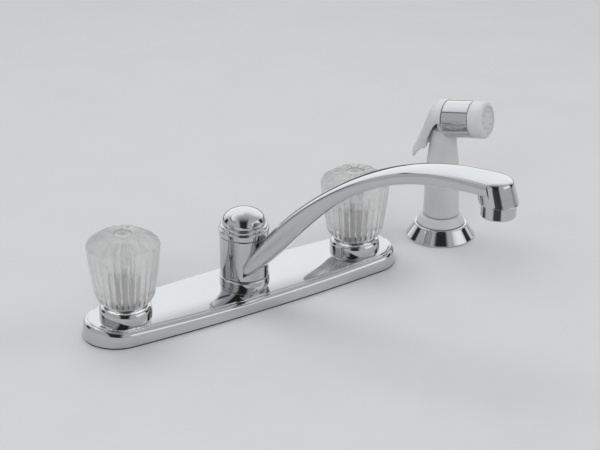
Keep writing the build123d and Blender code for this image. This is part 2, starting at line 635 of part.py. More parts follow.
# ---------------------------------------------------------------- spout
SPOUT_SIDE = side_plane(SPOUT_HEADING)
SPOUT_ALONG = Axis((0, 0, 0), SPOUT_SIDE.x_dir)
with BuildPart() as spout:
    # Arched arm: its side outline, then its outline from above
    with BuildSketch(SPOUT_SIDE):
        with BuildLine():
            arm_top = Spline(
                (ARM_START, ARM_ROOT_TOP),
                arm_point(0.1557, 0.4702),
                arm_point(0.2712, 0.6289),
                arm_point(0.4319, 0.7940),
                arm_point(0.5927, 0.9088),
                arm_point(0.7534, 0.9792),
                arm_point(0.9, 1.0),
                (TIP_REACH + TIP_R, 0.99 * ARM_CREST),
            )
            arm_bottom = Spline(
                (ARM_START, ARM_ROOT_LOW),
                arm_point(0.1256, 0.2527),
                arm_point(0.2260, 0.4106),
                arm_point(0.3918, 0.6576),
                arm_point(0.5525, 0.8098),
                arm_point(0.7283, 0.8902),
                (TIP_REACH + TIP_R, 0.916 * ARM_CREST),
            )
            Line(arm_top @ 0, arm_bottom @ 0)
            Line(arm_top @ 1, arm_bottom @ 1)
        make_face()
    extrude(amount=2 * ARM_ROOT_HALF_W, both=True)
    with BuildSketch(level_plane(0, SPOUT_HEADING)):
        with BuildLine():
            flank = Spline(
                (ARM_START, ARM_ROOT_HALF_W),
                (0.25 * TIP_REACH, 1.07 * ARM_MID_HALF_W),
                (0.5 * TIP_REACH, ARM_MID_HALF_W),
                (0.78 * TIP_REACH, 1.07 * ARM_MID_HALF_W),
                (TIP_REACH, TIP_R),
                tangents=((1, -0.12), (1, 0.02)),
            )
            mirror(flank, about=Plane.XZ)
            ThreePointArc((TIP_REACH, TIP_R), (TIP_REACH + TIP_R, 0), (TIP_REACH, -TIP_R))
            Line((ARM_START, ARM_ROOT_HALF_W), (ARM_START, -ARM_ROOT_HALF_W))
        make_face()
    extrude(amount=BOSS_START + 10, mode=Mode.INTERSECT)
    arm_faces = faces().sort_by(Axis.Z)
    fillet(arm_faces[-1].edges().sort_by(SPOUT_ALONG)[1:], radius=ARM_TOP_ROUND)
    # Outlet boss, wider at its foot
    with BuildSketch(level_plane(BOSS_START, SPOUT_HEADING)):
        with Locations((TIP_REACH, 0)):
            Circle(TIP_R - 0.02)
    with BuildSketch(level_plane(OUTLET_BOTTOM, SPOUT_HEADING)):
        with Locations((OUTLET_REACH, 0)):
            Circle(OUTLET_R)
    loft()
    # Hub
    with BuildSketch(Plane.XY.offset(HUB_BOTTOM)):
        Circle(HUB_R)
    extrude(amount=HUB_TOP - HUB_BOTTOM)
    # Water passage, outlet bore and the bore for the post
    with BuildSketch(SPOUT_SIDE):
        with BuildLine():
            duct_start = (ARM_START, (ARM_ROOT_TOP + ARM_ROOT_LOW) / 2)
            duct_low = arm_point(0.2762, 0.5564)
            duct_high = arm_point(0.5927, 0.8672)
            ThreePointArc(duct_start, arm_point(0.1557, 0.3805), duct_low)
            ThreePointArc(duct_low, arm_point(0.4319, 0.7408), duct_high)
            ThreePointArc(duct_high, arm_point(0.7936, 0.9447), arm_point(1.0, 0.9505))
        trace(line_width=ARM_DUCT_H)
    extrude(amount=ARM_DUCT_W / 2, both=True, mode=Mode.SUBTRACT)
    with BuildSketch(level_plane(OUTLET_BOTTOM, SPOUT_HEADING)):
        with Locations((OUTLET_REACH, 0)):
            Circle(BOSS_BORE_R)
    extrude(amount=BOSS_BORE_TOP - OUTLET_BOTTOM, mode=Mode.SUBTRACT)
    with BuildSketch(level_plane(OUTLET_BOTTOM, SPOUT_HEADING)):
        with Locations((OUTLET_REACH, 0)):
            Circle(AERATOR_THREAD_R + SNUG)
    extrude(amount=AERATOR_THREAD_TOP + AERATOR_WASHER_T + SNUG - OUTLET_BOTTOM, mode=Mode.SUBTRACT)
    with BuildSketch(Plane.XY.offset(HUB_BOTTOM)):
        Circle(HUB_BORE_R)
    extrude(amount=HUB_TOP - HUB_BOTTOM, mode=Mode.SUBTRACT)

OUTLET_X = OUTLET_REACH * cos(radians(SPOUT_HEADING))
OUTLET_Y = OUTLET_REACH * sin(radians(SPOUT_HEADING))
OUTLET_TURNING = turning_plane(OUTLET_X, OUTLET_Y)
OUTLET_AXIS = upright_axis(OUTLET_X, OUTLET_Y)
with BuildPart() as aerator_housing:
    with BuildSketch(OUTLET_TURNING):
        with BuildLine():
            Polyline(
                (AERATOR_LIP_R, AERATOR_BOTTOM),
                (AERATOR_R, AERATOR_BOTTOM),
                (AERATOR_R, OUTLET_BOTTOM - LOOSE),
                (AERATOR_THREAD_R, OUTLET_BOTTOM - LOOSE),
                (AERATOR_THREAD_R, AERATOR_THREAD_TOP),
                (AERATOR_BORE_R, AERATOR_THREAD_TOP),
                (AERATOR_BORE_R, AERATOR_BOTTOM + AERATOR_LIP_T),
                (AERATOR_LIP_R, AERATOR_BOTTOM + AERATOR_LIP_T),
                close=True,
            )
        make_face()
    revolve(axis=OUTLET_AXIS)
    fillet(edges().group_by(Axis.Z)[0].sort_by(SortBy.RADIUS)[-1], radius=AERATOR_ROUND)

with BuildPart() as aerator_insert:
    with BuildSketch(level_plane(AERATOR_BOTTOM + AERATOR_LIP_T, SPOUT_HEADING)):
        with Locations((OUTLET_REACH, 0)):
            Circle(AERATOR_BORE_R - SNUG)
            with PolarLocations(AERATOR_BORE_R * 0.62, AERATOR_JETS):
                Circle(1.0, mode=Mode.SUBTRACT)
    extrude(amount=AERATOR_INSERT_T)

with BuildPart() as aerator_washer:
    with BuildSketch(level_plane(AERATOR_THREAD_TOP, SPOUT_HEADING)):
        with Locations((OUTLET_REACH, 0)):
            Circle(AERATOR_THREAD_R)
            Circle(AERATOR_LIP_R, mode=Mode.SUBTRACT)
    extrude(amount=AERATOR_WASHER_T)

# ---------------------------------------------------------------- under the deck
with BuildPart() as mounting_washers:
    with BuildSketch(Plane.XY.offset(WASHER_BOTTOM)):
        with Locations(*HANDLE_AXES):
            Circle(WASHER_R)
            Circle(SHANK_R + LOOSE, mode=Mode.SUBTRACT)
    extrude(amount=WASHER_T)

with BuildPart() as mounting_nuts:
    with BuildSketch(Plane.XY.offset(MOUNT_NUT_BOTTOM)):
        with Locations(*HANDLE_AXES):
            Circle(MOUNT_NUT_R)
            RectangleRounded(2 * WING_REACH, WING_W, WING_W * 0.45)
        with Locations(*HANDLE_AXES):
            Circle(SHANK_R + SNUG, mode=Mode.SUBTRACT)
    extrude(amount=MOUNT_NUT_H)

# ---------------------------------------------------------------- side spray holder
SPRAY_TURNING = turning_plane(SPRAY_X, SPRAY_Y)
SPRAY_AXIS = upright_axis(SPRAY_X, SPRAY_Y)
with BuildPart() as spray_holder:
    with BuildSketch(SPRAY_TURNING):
        with BuildLine():
            Polyline(
                (HOLDER_BORE_R, HOLDER_BOTTOM),
                (HOLDER_TAIL_R, HOLDER_BOTTOM),
                (HOLDER_TAIL_R, HOLDER_TAIL_TOP),
                (HOLDER_SHANK_R, HOLDER_TAIL_TOP),
                (HOLDER_SHANK_R, 0),
                (HOLDER_FOOT_R, 0),
                (HOLDER_FOOT_R, HOLDER_FOOT_T),
                (HOLDER_RIM_R + 0.5, HOLDER_RIM_Z - 1.4),
            )
            ThreePointArc(
                (HOLDER_RIM_R + 0.5, HOLDER_RIM_Z - 1.4),
                (HOLDER_RIM_R, HOLDER_RIM_Z - 0.3),
                (HOLDER_RIM_R - 1.2, HOLDER_RIM_Z),
            )
            Polyline(
                (HOLDER_RIM_R - 1.2, HOLDER_RIM_Z),
                (HOLDER_CUP_R, HOLDER_RIM_Z),
                (HOLDER_CUP_R, HOLDER_CUP_FLOOR),
                (HOLDER_BORE_R, HOLDER_CUP_FLOOR),
                (HOLDER_BORE_R, HOLDER_BOTTOM),
            )
        make_face()
    revolve(axis=SPRAY_AXIS)

with BuildPart() as spray_holder_liner:
    with BuildSketch(SPRAY_TURNING):
        with BuildLine():
            Polyline(
                (LINER_BORE_R, HOLDER_CUP_FLOOR),
                (HOLDER_CUP_R - SNUG, HOLDER_CUP_FLOOR),
                (HOLDER_CUP_R - SNUG, HOLDER_RIM_Z),
                (LINER_LIP_R - 0.8, HOLDER_RIM_Z),
                (LINER_LIP_R - 0.8, HOLDER_RIM_Z + 1.0),
                (LINER_TOP_R + 0.6, LINER_TOP - 0.4),
                (LINER_TOP_R, LINER_TOP),
                (LINER_BORE_R, LINER_TOP),
                close=True,
            )
        make_face()
    revolve(axis=SPRAY_AXIS)

with BuildPart() as spray_holder_washer:
    with BuildSketch(Plane.XY.offset(WASHER_BOTTOM)):
        with Locations((SPRAY_X, SPRAY_Y)):
            Circle(HOLDER_SHANK_R + 8)
            Circle(HOLDER_SHANK_R + LOOSE, mode=Mode.SUBTRACT)
    extrude(amount=WASHER_T)

with BuildPart() as spray_holder_nut:
    with BuildSketch(Plane.XY.offset(MOUNT_NUT_BOTTOM)):
        with Locations((SPRAY_X, SPRAY_Y)):
            RegularPolygon(HOLDER_SHANK_R + 5.5, 6, major_radius=False)
            Circle(HOLDER_SHANK_R + SNUG, mode=Mode.SUBTRACT)
    extrude(amount=MOUNT_NUT_H)

# ---------------------------------------------------------------- side spray
SPRAY_SIDE = side_plane(SPRAY_HEADING, SPRAY_X, SPRAY_Y)
HEAD_RISE = sin(radians(HEAD_TILT))
HEAD_RUN = cos(radians(HEAD_TILT))
HEAD_FRAME = Plane(
    origin=(SPRAY_X, SPRAY_Y, HEAD_Z),
    x_dir=-SPRAY_SIDE.z_dir,
    z_dir=SPRAY_SIDE.x_dir * HEAD_RUN + Vector(0, 0, HEAD_RISE),
)
CORE_R = HEAD_R - BAND_WALL
NOSE_START = BAND_START + BAND_LENGTH + LOOSE
FACE_SEAT = NOSE_START + NOSE_LENGTH - NOSE_RECESS - FACE_T
LEVER_CUT_LEAN = degrees(atan2(LEVER_SWEEP - LOOSE, LEVER_R))

with BuildPart() as spray_body:
    with BuildSketch(SPRAY_TURNING):
        with BuildLine():
            Polyline(
                (0, HEAD_Z),
                (0, TAIL_BOTTOM),
                (TAIL_END_R, TAIL_BOTTOM),
                (TAIL_R, GRIP_BOTTOM),
                (GRIP_FOOT_R - 0.8, GRIP_BOTTOM),
                (GRIP_FOOT_R, GRIP_BOTTOM + 1.2),
            )
            Spline(
                (GRIP_FOOT_R, GRIP_BOTTOM + 1.2),
                (GRIP_LOW_R, GRIP_LOW_Z),
                (GRIP_MID_R, GRIP_MID_Z),
                (GRIP_NECK_R, GRIP_NECK_Z),
                tangents=((-0.02, 1), (-0.1, 1)),
            )
            Polyline((GRIP_NECK_R, GRIP_NECK_Z), (GRIP_NECK_R, HEAD_Z), (0, HEAD_Z))
        make_face()
    revolve(axis=SPRAY_AXIS)
    with BuildSketch(HEAD_FRAME.offset(BAND_START - 1)):
        Circle(CORE_R - SNUG)
    extrude(amount=BAND_LENGTH + 1 + LOOSE)
    # Rear of the head, inside the lever's top
    with BuildSketch(HEAD_FRAME.offset(-REAR_LENGTH)):
        Circle(REAR_R)
    extrude(amount=BAND_START + REAR_LENGTH)
    # Waterway up the grip, bore of the plunger and hole of the lever's pin
    with BuildSketch(Plane(origin=(SPRAY_X, SPRAY_Y, TAIL_BOTTOM))):
        Circle(SPRAY_BORE_R)
    extrude(amount=SPRAY_BORE_TOP - TAIL_BOTTOM, mode=Mode.SUBTRACT)
    with BuildSketch(HEAD_FRAME.offset(PLUNGER_REAR - 2)):
        Circle(PLUNGER_R + RUNNING)
    extrude(amount=PLUNGER_FRONT + 2 - PLUNGER_REAR + 2, mode=Mode.SUBTRACT)
    with BuildSketch(SPRAY_SIDE):
        with Locations((PIVOT_REACH, PIVOT_Z)):
            Circle(PIVOT_R + RUNNING)
    extrude(amount=LEVER_R, both=True, mode=Mode.SUBTRACT)

with BuildPart() as spray_head_band:
    with BuildSketch(HEAD_FRAME.offset(BAND_START)):
        Circle(HEAD_R)
        Circle(CORE_R, mode=Mode.SUBTRACT)
    extrude(amount=BAND_LENGTH)
    # The grip comes up into the band from below
    with BuildSketch(Plane(origin=(SPRAY_X, SPRAY_Y, GRIP_NECK_Z - HEAD_R))):
        Circle(GRIP_NECK_R + 2 * SNUG)
    extrude(amount=HEAD_Z - GRIP_NECK_Z + HEAD_R, mode=Mode.SUBTRACT)

with BuildPart() as spray_nose_cap:
    with BuildSketch(HEAD_FRAME.offset(NOSE_START)):
        Circle(HEAD_R)
    extrude(amount=NOSE_LENGTH)
    fillet(faces().sort_by(Axis(HEAD_FRAME.origin, HEAD_FRAME.z_dir))[-1].edges(), radius=NOSE_ROUND)
    with BuildSketch(HEAD_FRAME.offset(NOSE_START + NOSE_LENGTH)):
        Circle(NOSE_RECESS_R)
    extrude(amount=-NOSE_RECESS - FACE_T, mode=Mode.SUBTRACT)

with BuildPart() as spray_face:
    with BuildSketch(HEAD_FRAME.offset(FACE_SEAT)):
        Circle(NOSE_RECESS_R - SNUG)
        with PolarLocations(FACE_JET_RING_R, FACE_JETS):
            Circle(FACE_JET_R, mode=Mode.SUBTRACT)
    extrude(amount=FACE_T)



def lever_front(inset):
    """The lever's outline along the head: round over the head, narrow at the thumb end."""
    top_r = LEVER_R - inset
    with BuildSketch(HEAD_FRAME) as outline:
        with BuildLine():
            flank = Polyline(
                (top_r, 0),
                (0.783 * LEVER_R - inset, -0.28 * LEVER_LENGTH),
                (0.697 * LEVER_R - inset, -0.56 * LEVER_LENGTH),
                (LEVER_THUMB_HALF_W - inset, -LEVER_LENGTH),
            )
            mirror(flank, about=Plane.YZ)
            ThreePointArc((top_r, 0), (0, top_r), (-top_r, 0))
            Line((LEVER_THUMB_HALF_W - inset, -LEVER_LENGTH), (inset - LEVER_THUMB_HALF_W, -LEVER_LENGTH))
        make_face()
    return outline.sketch


with BuildPart() as lever_hollow:
    with BuildSketch(SPRAY_SIDE):
        with BuildLine():
            hollow_back = Spline(
                lever_point(0.658, 1.079),
                lever_point(0.092, 0.961),
                lever_point(-0.368, 0.697),
                lever_point(-0.618, 0.289),
                lever_point(-1.026, -0.763),
                lever_point(-1.368, -1.658),
            )
            Polyline(
                hollow_back @ 1,
                lever_point(-1.408, -2.632),
                lever_point(0.658, -2.632),
                hollow_back @ 0,
            )
        make_face()
    extrude(amount=LEVER_R, both=True)
    extrude(lever_front(LEVER_WALL), amount=2 * HEAD_Z, both=True, mode=Mode.INTERSECT)

with BuildPart() as spray_lever:
    with BuildSketch(SPRAY_SIDE):
        with BuildLine():
            lever_back = Spline(
                lever_point(0.658, 1.171),
                lever_point(0.092, 1.105),
                lever_point(-0.408, 0.882),
                lever_point(-0.697, 0.461),
                lever_point(-1.046, -0.500),
                lever_point(-1.480, -1.513),
                lever_point(-1.618, -1.895),
            )
            arch = Spline(
                lever_point(-1.217, -1.908),
                lever_point(-1.072, -1.664),
                lever_point(-0.849, -1.513),
            )
            Polyline(lever_back @ 1, lever_point(-1.553, -2.053), lever_point(-1.355, -2.211), arch @ 0)
            front = Spline(
                arch @ 1,
                lever_point(-0.592, -0.855),
                lever_point(-0.316, -0.329),
                lever_point(-0.020, -0.039),
                lever_point(0.658, 0.105),
            )
            Line(front @ 1, lever_back @ 0)
        make_face()
    extrude(amount=LEVER_R + 1, both=True)
    extrude(lever_front(0), amount=2 * HEAD_Z, both=True, mode=Mode.INTERSECT)
    add(lever_hollow.part, mode=Mode.SUBTRACT)
    lever_front_end = HEAD_FRAME.offset(BAND_START - LEVER_SWEEP).rotated((LEVER_CUT_LEAN, 0, 0))
    split(bisect_by=lever_front_end, keep=Keep.BOTTOM)
    with BuildSketch(SPRAY_SIDE):
        with Locations((PIVOT_REACH, PIVOT_Z)):
            Circle(PIVOT_R + RUNNING)
    extrude(amount=PIN_HALF_LENGTH + SNUG, both=True, mode=Mode.SUBTRACT)

with BuildPart() as spray_lever_pin:
    with BuildSketch(SPRAY_SIDE):
        with Locations((PIVOT_REACH, PIVOT_Z)):
            Circle(PIVOT_R)
    extrude(amount=PIN_HALF_LENGTH, both=True)

with BuildPart() as spray_plunger:
    with BuildSketch(HEAD_FRAME.offset(PLUNGER_REAR)):
        Circle(PLUNGER_R)
    extrude(amount=PLUNGER_FRONT - PLUNGER_REAR)

with BuildPart() as spray_hose_nipple:
    with BuildSketch(Plane(origin=(SPRAY_X, SPRAY_Y, TAIL_BOTTOM))):
        Circle(HOSE_NIPPLE_R)
        Circle(SPRAY_BORE_R, mode=Mode.SUBTRACT)
    extrude(amount=-HOSE_NIPPLE_LENGTH)

# ---------------------------------------------------------------- labels and files
handle_pieces = {
    "bonnet": bonnet.part,
    "stem": stem.part,
    "stem_o_ring": stem_o_ring.part,
    "valve_seat": valve_seat.part,
    "seat_spring": seat_spring.part,
    "knob": knob.part,
    "handle_insert": handle_insert.part,
    "handle_screw": handle_screw.part,
    "index_cap": index_cap.part,
}
pieces = {
    "deck_plate": deck_plate.part,
    "deck_gasket": deck_gasket.part,
    "waterway_body": waterway_body.part,
    "spray_outlet_nipple": spray_outlet_nipple.part,
    "diverter_housing": diverter_housing.part,
    "diverter_poppet": diverter_poppet.part,
    "spout_o_rings": spout_o_rings.part,
    "glide_ring": glide_ring.part,
    "spout_nut": spout_nut.part,
    "spout": spout.part,
    "aerator_housing": aerator_housing.part,
    "aerator_insert": aerator_insert.part,
    "aerator_washer": aerator_washer.part,
    "mounting_washers": mounting_washers.part,
    "mounting_nuts": mounting_nuts.part,
    "spray_holder": spray_holder.part,
    "spray_holder_liner": spray_holder_liner.part,
    "spray_holder_washer": spray_holder_washer.part,
    "spray_holder_nut": spray_holder_nut.part,
    "spray_body": spray_body.part,
    "spray_head_band": spray_head_band.part,
    "spray_nose_cap": spray_nose_cap.part,
    "spray_face": spray_face.part,
    "spray_lever": spray_lever.part,
    "spray_lever_pin": spray_lever_pin.part,
    "spray_plunger": spray_plunger.part,
    "spray_hose_nipple": spray_hose_nipple.part,
}
for side, (x, y) in zip(("left", "right"), HANDLE_AXES):
    for name, piece in handle_pieces.items():
        pieces[f"{side}_{name}"] = piece.moved(Location((x, y, 0)))

os.makedirs("parts", exist_ok=True)
for name, piece in pieces.items():
    piece.label = name
    export_step(piece, f"parts/{name}.step")
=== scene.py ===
"""Looks of a two handle kitchen faucet with a side spray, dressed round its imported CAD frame.

Sizes are in millimetres, as in the CAD source, and become metres when a mesh is made.
X runs along the deck plate, -Y is the sink side and Z is up.
"""

from __future__ import annotations

import json
import logging
import math
from collections.abc import Sequence
from dataclasses import dataclass, field
from enum import Enum

import bmesh
import bpy
import numpy as np
from mathutils import Matrix, Vector

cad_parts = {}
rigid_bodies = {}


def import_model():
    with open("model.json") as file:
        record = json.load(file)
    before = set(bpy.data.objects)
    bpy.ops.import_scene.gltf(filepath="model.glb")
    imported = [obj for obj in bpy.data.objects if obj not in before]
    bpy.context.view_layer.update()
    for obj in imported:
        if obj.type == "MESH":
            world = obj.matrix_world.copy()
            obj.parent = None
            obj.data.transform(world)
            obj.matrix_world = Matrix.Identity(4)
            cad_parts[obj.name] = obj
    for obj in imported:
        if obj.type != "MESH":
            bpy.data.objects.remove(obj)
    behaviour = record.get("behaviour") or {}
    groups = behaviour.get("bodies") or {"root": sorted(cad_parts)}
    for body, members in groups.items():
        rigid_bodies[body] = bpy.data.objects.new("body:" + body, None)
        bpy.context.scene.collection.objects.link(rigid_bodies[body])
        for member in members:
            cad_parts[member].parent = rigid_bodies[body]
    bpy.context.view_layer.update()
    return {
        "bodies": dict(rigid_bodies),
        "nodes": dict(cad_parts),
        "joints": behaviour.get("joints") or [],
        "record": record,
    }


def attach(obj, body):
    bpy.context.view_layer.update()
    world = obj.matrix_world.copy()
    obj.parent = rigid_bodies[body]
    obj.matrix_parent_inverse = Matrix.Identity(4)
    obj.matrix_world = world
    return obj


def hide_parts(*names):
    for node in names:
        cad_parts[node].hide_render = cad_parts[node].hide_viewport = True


logging.basicConfig(level=logging.INFO, format="%(levelname)s %(message)s")
LOG = logging.getLogger("faucet")

MM = 0.001
# A round in a profile: the share of a run that it may take, and its step in degrees.
SHARED_RUN = 0.46
WHOLE_RUN = 0.92
ARC_STEP = 9


# ---------------------------------------------------------------- shader sheets
class Wire:
    """A value socket of a node tree, so that Python arithmetic on it adds Math nodes."""

    def __init__(self, sheet: "ShaderSheet", socket: bpy.types.NodeSocket) -> None:
        """Keeps the sheet that owns the socket.

        Args:
            sheet: the shader sheet that new nodes go into.
            socket: an output socket that gives one number.
        """
        self.sheet = sheet
        self.socket = socket

    def _math(self, operation: str, first: object, second: object | None = None) -> "Wire":
        """Adds one Math node and returns its output."""
        values = {0: first} if second is None else {0: first, 1: second}
        return self.sheet.add("ShaderNodeMath", {"operation": operation}, values).wire()

    def __add__(self, other: object) -> "Wire":
        """Sum of two values."""
        return self._math("ADD", self, other)

    def __radd__(self, other: object) -> "Wire":
        """Sum with the number on the left."""
        return self._math("ADD", other, self)

    def __sub__(self, other: object) -> "Wire":
        """Difference of two values."""
        return self._math("SUBTRACT", self, other)

    def __rsub__(self, other: object) -> "Wire":
        """Difference with the number on the left."""
        return self._math("SUBTRACT", other, self)

    def __mul__(self, other: object) -> "Wire":
        """Product of two values."""
        return self._math("MULTIPLY", self, other)

    def __pow__(self, other: object) -> "Wire":
        """First value raised to the second."""
        return self._math("POWER", self, other)

    def sine(self) -> "Wire":
        """Sine of the value."""
        return self._math("SINE", self)

    def size(self) -> "Wire":
        """The value without its sign."""
        return self._math("ABSOLUTE", self)

    def angle_from(self, across: "Wire") -> "Wire":
        """Angle whose tangent is this value over the other."""
        return self._math("ARCTAN2", self, across)

    def spread(self, low: float, high: float, to_low: float, to_high: float) -> "Wire":
        """The value mapped smoothly from one range onto another and held at its ends."""
        numbers = {"Value": self, "From Min": low, "From Max": high, "To Min": to_low, "To Max": to_high}
        return self.sheet.add("ShaderNodeMapRange", {"interpolation_type": "SMOOTHSTEP"}, numbers).wire()


@dataclass
class Placed:
    """A node that has been put on a sheet."""

    sheet: "ShaderSheet"
    node: bpy.types.Node

    def wire(self, output: int | str = 0) -> Wire:
        """One of the node's outputs as a value."""
        return Wire(self.sheet, self.node.outputs[output])


class ShaderSheet:
    """The node tree of one material, filled by one method that adds any node."""

    def __init__(self, tree: bpy.types.NodeTree) -> None:
        """Clears the tree.

        Args:
            tree: the node tree to fill.
        """
        self.tree = tree
        self.tree.nodes.clear()

    def add(self, kind: str, settings: dict[str, object] | None = None, values: dict | None = None) -> Placed:
        """Adds a node, first its settings and then the values or links of its sockets.

        Args:
            kind: the node's type name.
            settings: attributes of the node.
            values: sockets by name or number, each a number, a colour, a Wire or a Placed node.

        Returns:
            The placed node.
        """
        node = self.tree.nodes.new(kind)
        for name, value in (settings or {}).items():
            setattr(node, name, value)
        for name, value in (values or {}).items():
            if isinstance(value, Placed):
                value = value.wire()
            if isinstance(value, Wire):
                self.tree.links.new(value.socket, node.inputs[name])
            else:
                node.inputs[name].default_value = value
        return Placed(self, node)

    def place(self, centre: tuple[float, float, float] = (0, 0, 0), stretch: tuple = (1, 1, 1)) -> Placed:
        """Object coordinates, moved so that a centre in millimetres is their origin, and stretched."""
        here = self.add("ShaderNodeTexCoord").wire("Object")
        moved = tuple(-c * MM * s for c, s in zip(centre, stretch))
        return self.add("ShaderNodeMapping", {}, {"Vector": here, "Location": moved, "Scale": stretch})

    def speckle(self, grain: float, detail: float = 3.0, at: Placed | None = None) -> Wire:
        """Noise whose grain is in millimetres, as a value from 0 to 1."""
        numbers = {"Vector": at or self.place(), "Scale": 1.0 / (grain * MM), "Detail": detail}
        return self.add("ShaderNodeTexNoise", {}, numbers).wire("Fac")

    def blend(self, share: object, first: object, second: object) -> Wire:
        """Colour between two colours, each plain numbers or a Wire, by a share from 0 to 1."""
        ends = [c if isinstance(c, Wire) else (*c, 1.0) for c in (first, second)]
        return self.add("ShaderNodeMix", {"data_type": "RGBA"}, {"Factor": share, 6: ends[0], 7: ends[1]}).wire(2)

    def relief(self, height: Wire, depth: float, strength: float = 1.0) -> Wire:
        """Normal of a surface with this height, whose full swing is depth in millimetres."""
        values = {"Height": height, "Distance": depth * MM, "Strength": strength}
        return self.add("ShaderNodeBump", {}, values).wire("Normal")

    def finish(self, values: dict) -> None:
        """Ends the tree with the main shader and the output."""
        shader = self.add("ShaderNodeBsdfPrincipled", {}, values)
        self.add("ShaderNodeOutputMaterial", {}, {"Surface": shader})


# ---------------------------------------------------------------- finishes
class Slot(Enum):
    """Material slots of the record."""

    CHROME = "chrome"
    ACRYLIC = "clear_acrylic"
    WHITE = "white_plastic"
    GREY = "grey_plastic"
    BLACK = "black_plastic"
    BRASS = "brass"
    RUBBER = "rubber"
    STEEL = "steel"


@dataclass(frozen=True)
class Finish:
    """One finish; its make method builds the material once and hands it out again after that."""

    name: str
    slot: Slot

    def make(self) -> bpy.types.Material:
        """The material of this finish."""
        made = bpy.data.materials.get(self.name)
        if made is None:
            made = bpy.data.materials.new(self.name)
            made.use_nodes = True
            self.dress(ShaderSheet(made.node_tree))
        return made

    def dress(self, sheet: ShaderSheet) -> None:
        """Fills the sheet; each kind of finish has its own."""
        raise NotImplementedError


@dataclass(frozen=True)
class PolishedChrome(Finish):
    """Bright nickel and chrome plate: mirror bright, with faint haze and wiping marks."""

    tint: tuple[float, float, float] = (0.585, 0.592, 0.60)
    gloss: float = 0.04

    def dress(self, sheet: ShaderSheet) -> None:
        """Cloudy haze in the gloss, fine wiping marks and a very slight waviness under the plate."""
        cloud = sheet.speckle(24.0, 2.0)
        wipe = sheet.speckle(1.4, 4.0, sheet.place(stretch=(1.0, 0.15, 1.0)))
        rough = self.gloss + cloud.spread(0.45, 0.75, 0.0, 0.035) + wipe.spread(0.55, 0.8, 0.0, 0.03)
        pale = tuple(min(1.0, c * 1.06) for c in self.tint)
        colour = sheet.blend(cloud, self.tint, pale)
        wave = sheet.speckle(16.0, 1.0)
        normal = sheet.relief(wave, 0.012, 0.6)
        sheet.finish({"Base Color": colour, "Metallic": 1.0, "Roughness": rough, "Normal": normal})


@dataclass(frozen=True)
class CutAcrylic(Finish):
    """Cast acrylic, a little milky: a star in its crown, painted shade at the foot of each flute and painted shade on
    its underside.

    Its levels are in metres, as Object coordinates are.
    """

    axis_x: float = 0.0
    cuts: int = 30
    flutes: int = 32
    crown_low: float = 0.0700
    crown_high: float = 0.0735
    # painted shade at the flute feet: the levels where the darkened band starts and ends
    flute_shade_low: float = 0.0268
    flute_shade_high: float = 0.0298
    # painted shade on the underside: dark below the first level, clear above the second
    under_low: float = 0.02385
    under_high: float = 0.0240
    shadow: tuple[float, float, float] = (0.05, 0.045, 0.045)
    clarity: float = 0.76

    def dress(self, sheet: ShaderSheet) -> None:
        """Milky body with streaks that run up the flutes and in to the middle of the crown."""
        here = sheet.place((self.axis_x, 0.0, 0.0))
        apart = sheet.add("ShaderNodeSeparateXYZ", {}, {0: here})
        x, y, z = apart.wire(0), apart.wire(1), apart.wire(2)
        turn = y.angle_from(x)
        crown = z.spread(self.crown_low, self.crown_high, 0.0, 1.0)
        round_x, round_y = turn.sine(), (turn + math.pi / 2).sine()
        reach = (x * x + y * y) ** 0.5
        along = z * 16.0 + reach * 40.0
        ray_place = sheet.add("ShaderNodeCombineXYZ", {}, {0: round_x * 9.0, 1: round_y * 9.0, 2: along})
        rays = sheet.add("ShaderNodeTexNoise", {}, {"Vector": ray_place, "Scale": 1.6, "Detail": 3.0}).wire("Fac")
        flow = sheet.speckle(2.6, 3.0)
        star = (turn * self.cuts).sine()
        valley = (turn * self.flutes + math.pi / 2).sine().spread(0.45, 0.85, 0.0, 1.0)
        # painted shade: the flute valleys are darkened at their foot, where the flutes fall into shade
        flute_foot_shade = valley * z.spread(self.flute_shade_low, self.flute_shade_low + 0.0008, 0.0, 1.0)
        flute_foot_shade = flute_foot_shade * z.spread(self.flute_shade_high, self.flute_shade_high + 0.0014, 1.0, 0.0)
        shade = rays.spread(0.36, 0.62, 0.0, 1.0) * 0.7 + flow.spread(0.35, 0.65, 0.0, 1.0) * 0.3
        body = sheet.blend(shade, (0.78, 0.785, 0.78), (1.0, 1.0, 0.997))
        # painted shade on the underside, where the bonnet's top under the knob lies in shade
        under = z.spread(self.under_low, self.under_high, 1.0, 0.0)
        # both painted shades together, flute feet and underside, mixed towards the shadow colour
        dark = 1.0 - (1.0 - flute_foot_shade * 0.88) * (1.0 - under * 0.8)
        colour = sheet.blend(dark, body, self.shadow)
        height = (star * 0.35 + rays * 1.1) * crown + (rays * 0.5 + flow * 0.55) * (1.0 - crown)
        rough = 0.05 + flow.spread(0.4, 0.8, 0.0, 0.06) + crown * 0.03
        sheet.finish({
            "Base Color": colour,
            "Roughness": rough,
            "Normal": sheet.relief(height, 0.75, 0.8),
            "IOR": 1.46,
            "Transmission Weight": self.clarity,
        })


@dataclass(frozen=True)
class MouldedPlastic(Finish):
    """Moulded plastic with a fine satin skin."""

    colour: tuple[float, float, float] = (0.8, 0.8, 0.8)
    gloss: float = 0.32
    grain: float = 0.35

    def dress(self, sheet: ShaderSheet) -> None:
        """Slow shade changes, satin roughness and a very fine skin texture."""
        slow = sheet.speckle(18.0, 2.0)
        skin = sheet.speckle(self.grain, 2.0)
        deep = tuple(c * 0.955 for c in self.colour)
        colour = sheet.blend(slow.spread(0.35, 0.65, 0.0, 1.0), self.colour, deep)
        rough = self.gloss + skin.spread(0.3, 0.7, 0.0, 0.09) + slow.spread(0.4, 0.7, 0.0, 0.05)
        normal = sheet.relief(skin, 0.012, 0.5)
        sheet.finish({
            "Base Color": colour,
            "Roughness": rough,
            "Normal": normal,
            "Subsurface Weight": 0.04,
            "Subsurface Radius": (0.004, 0.004, 0.004),
            "Specular IOR Level": 0.5,
        })


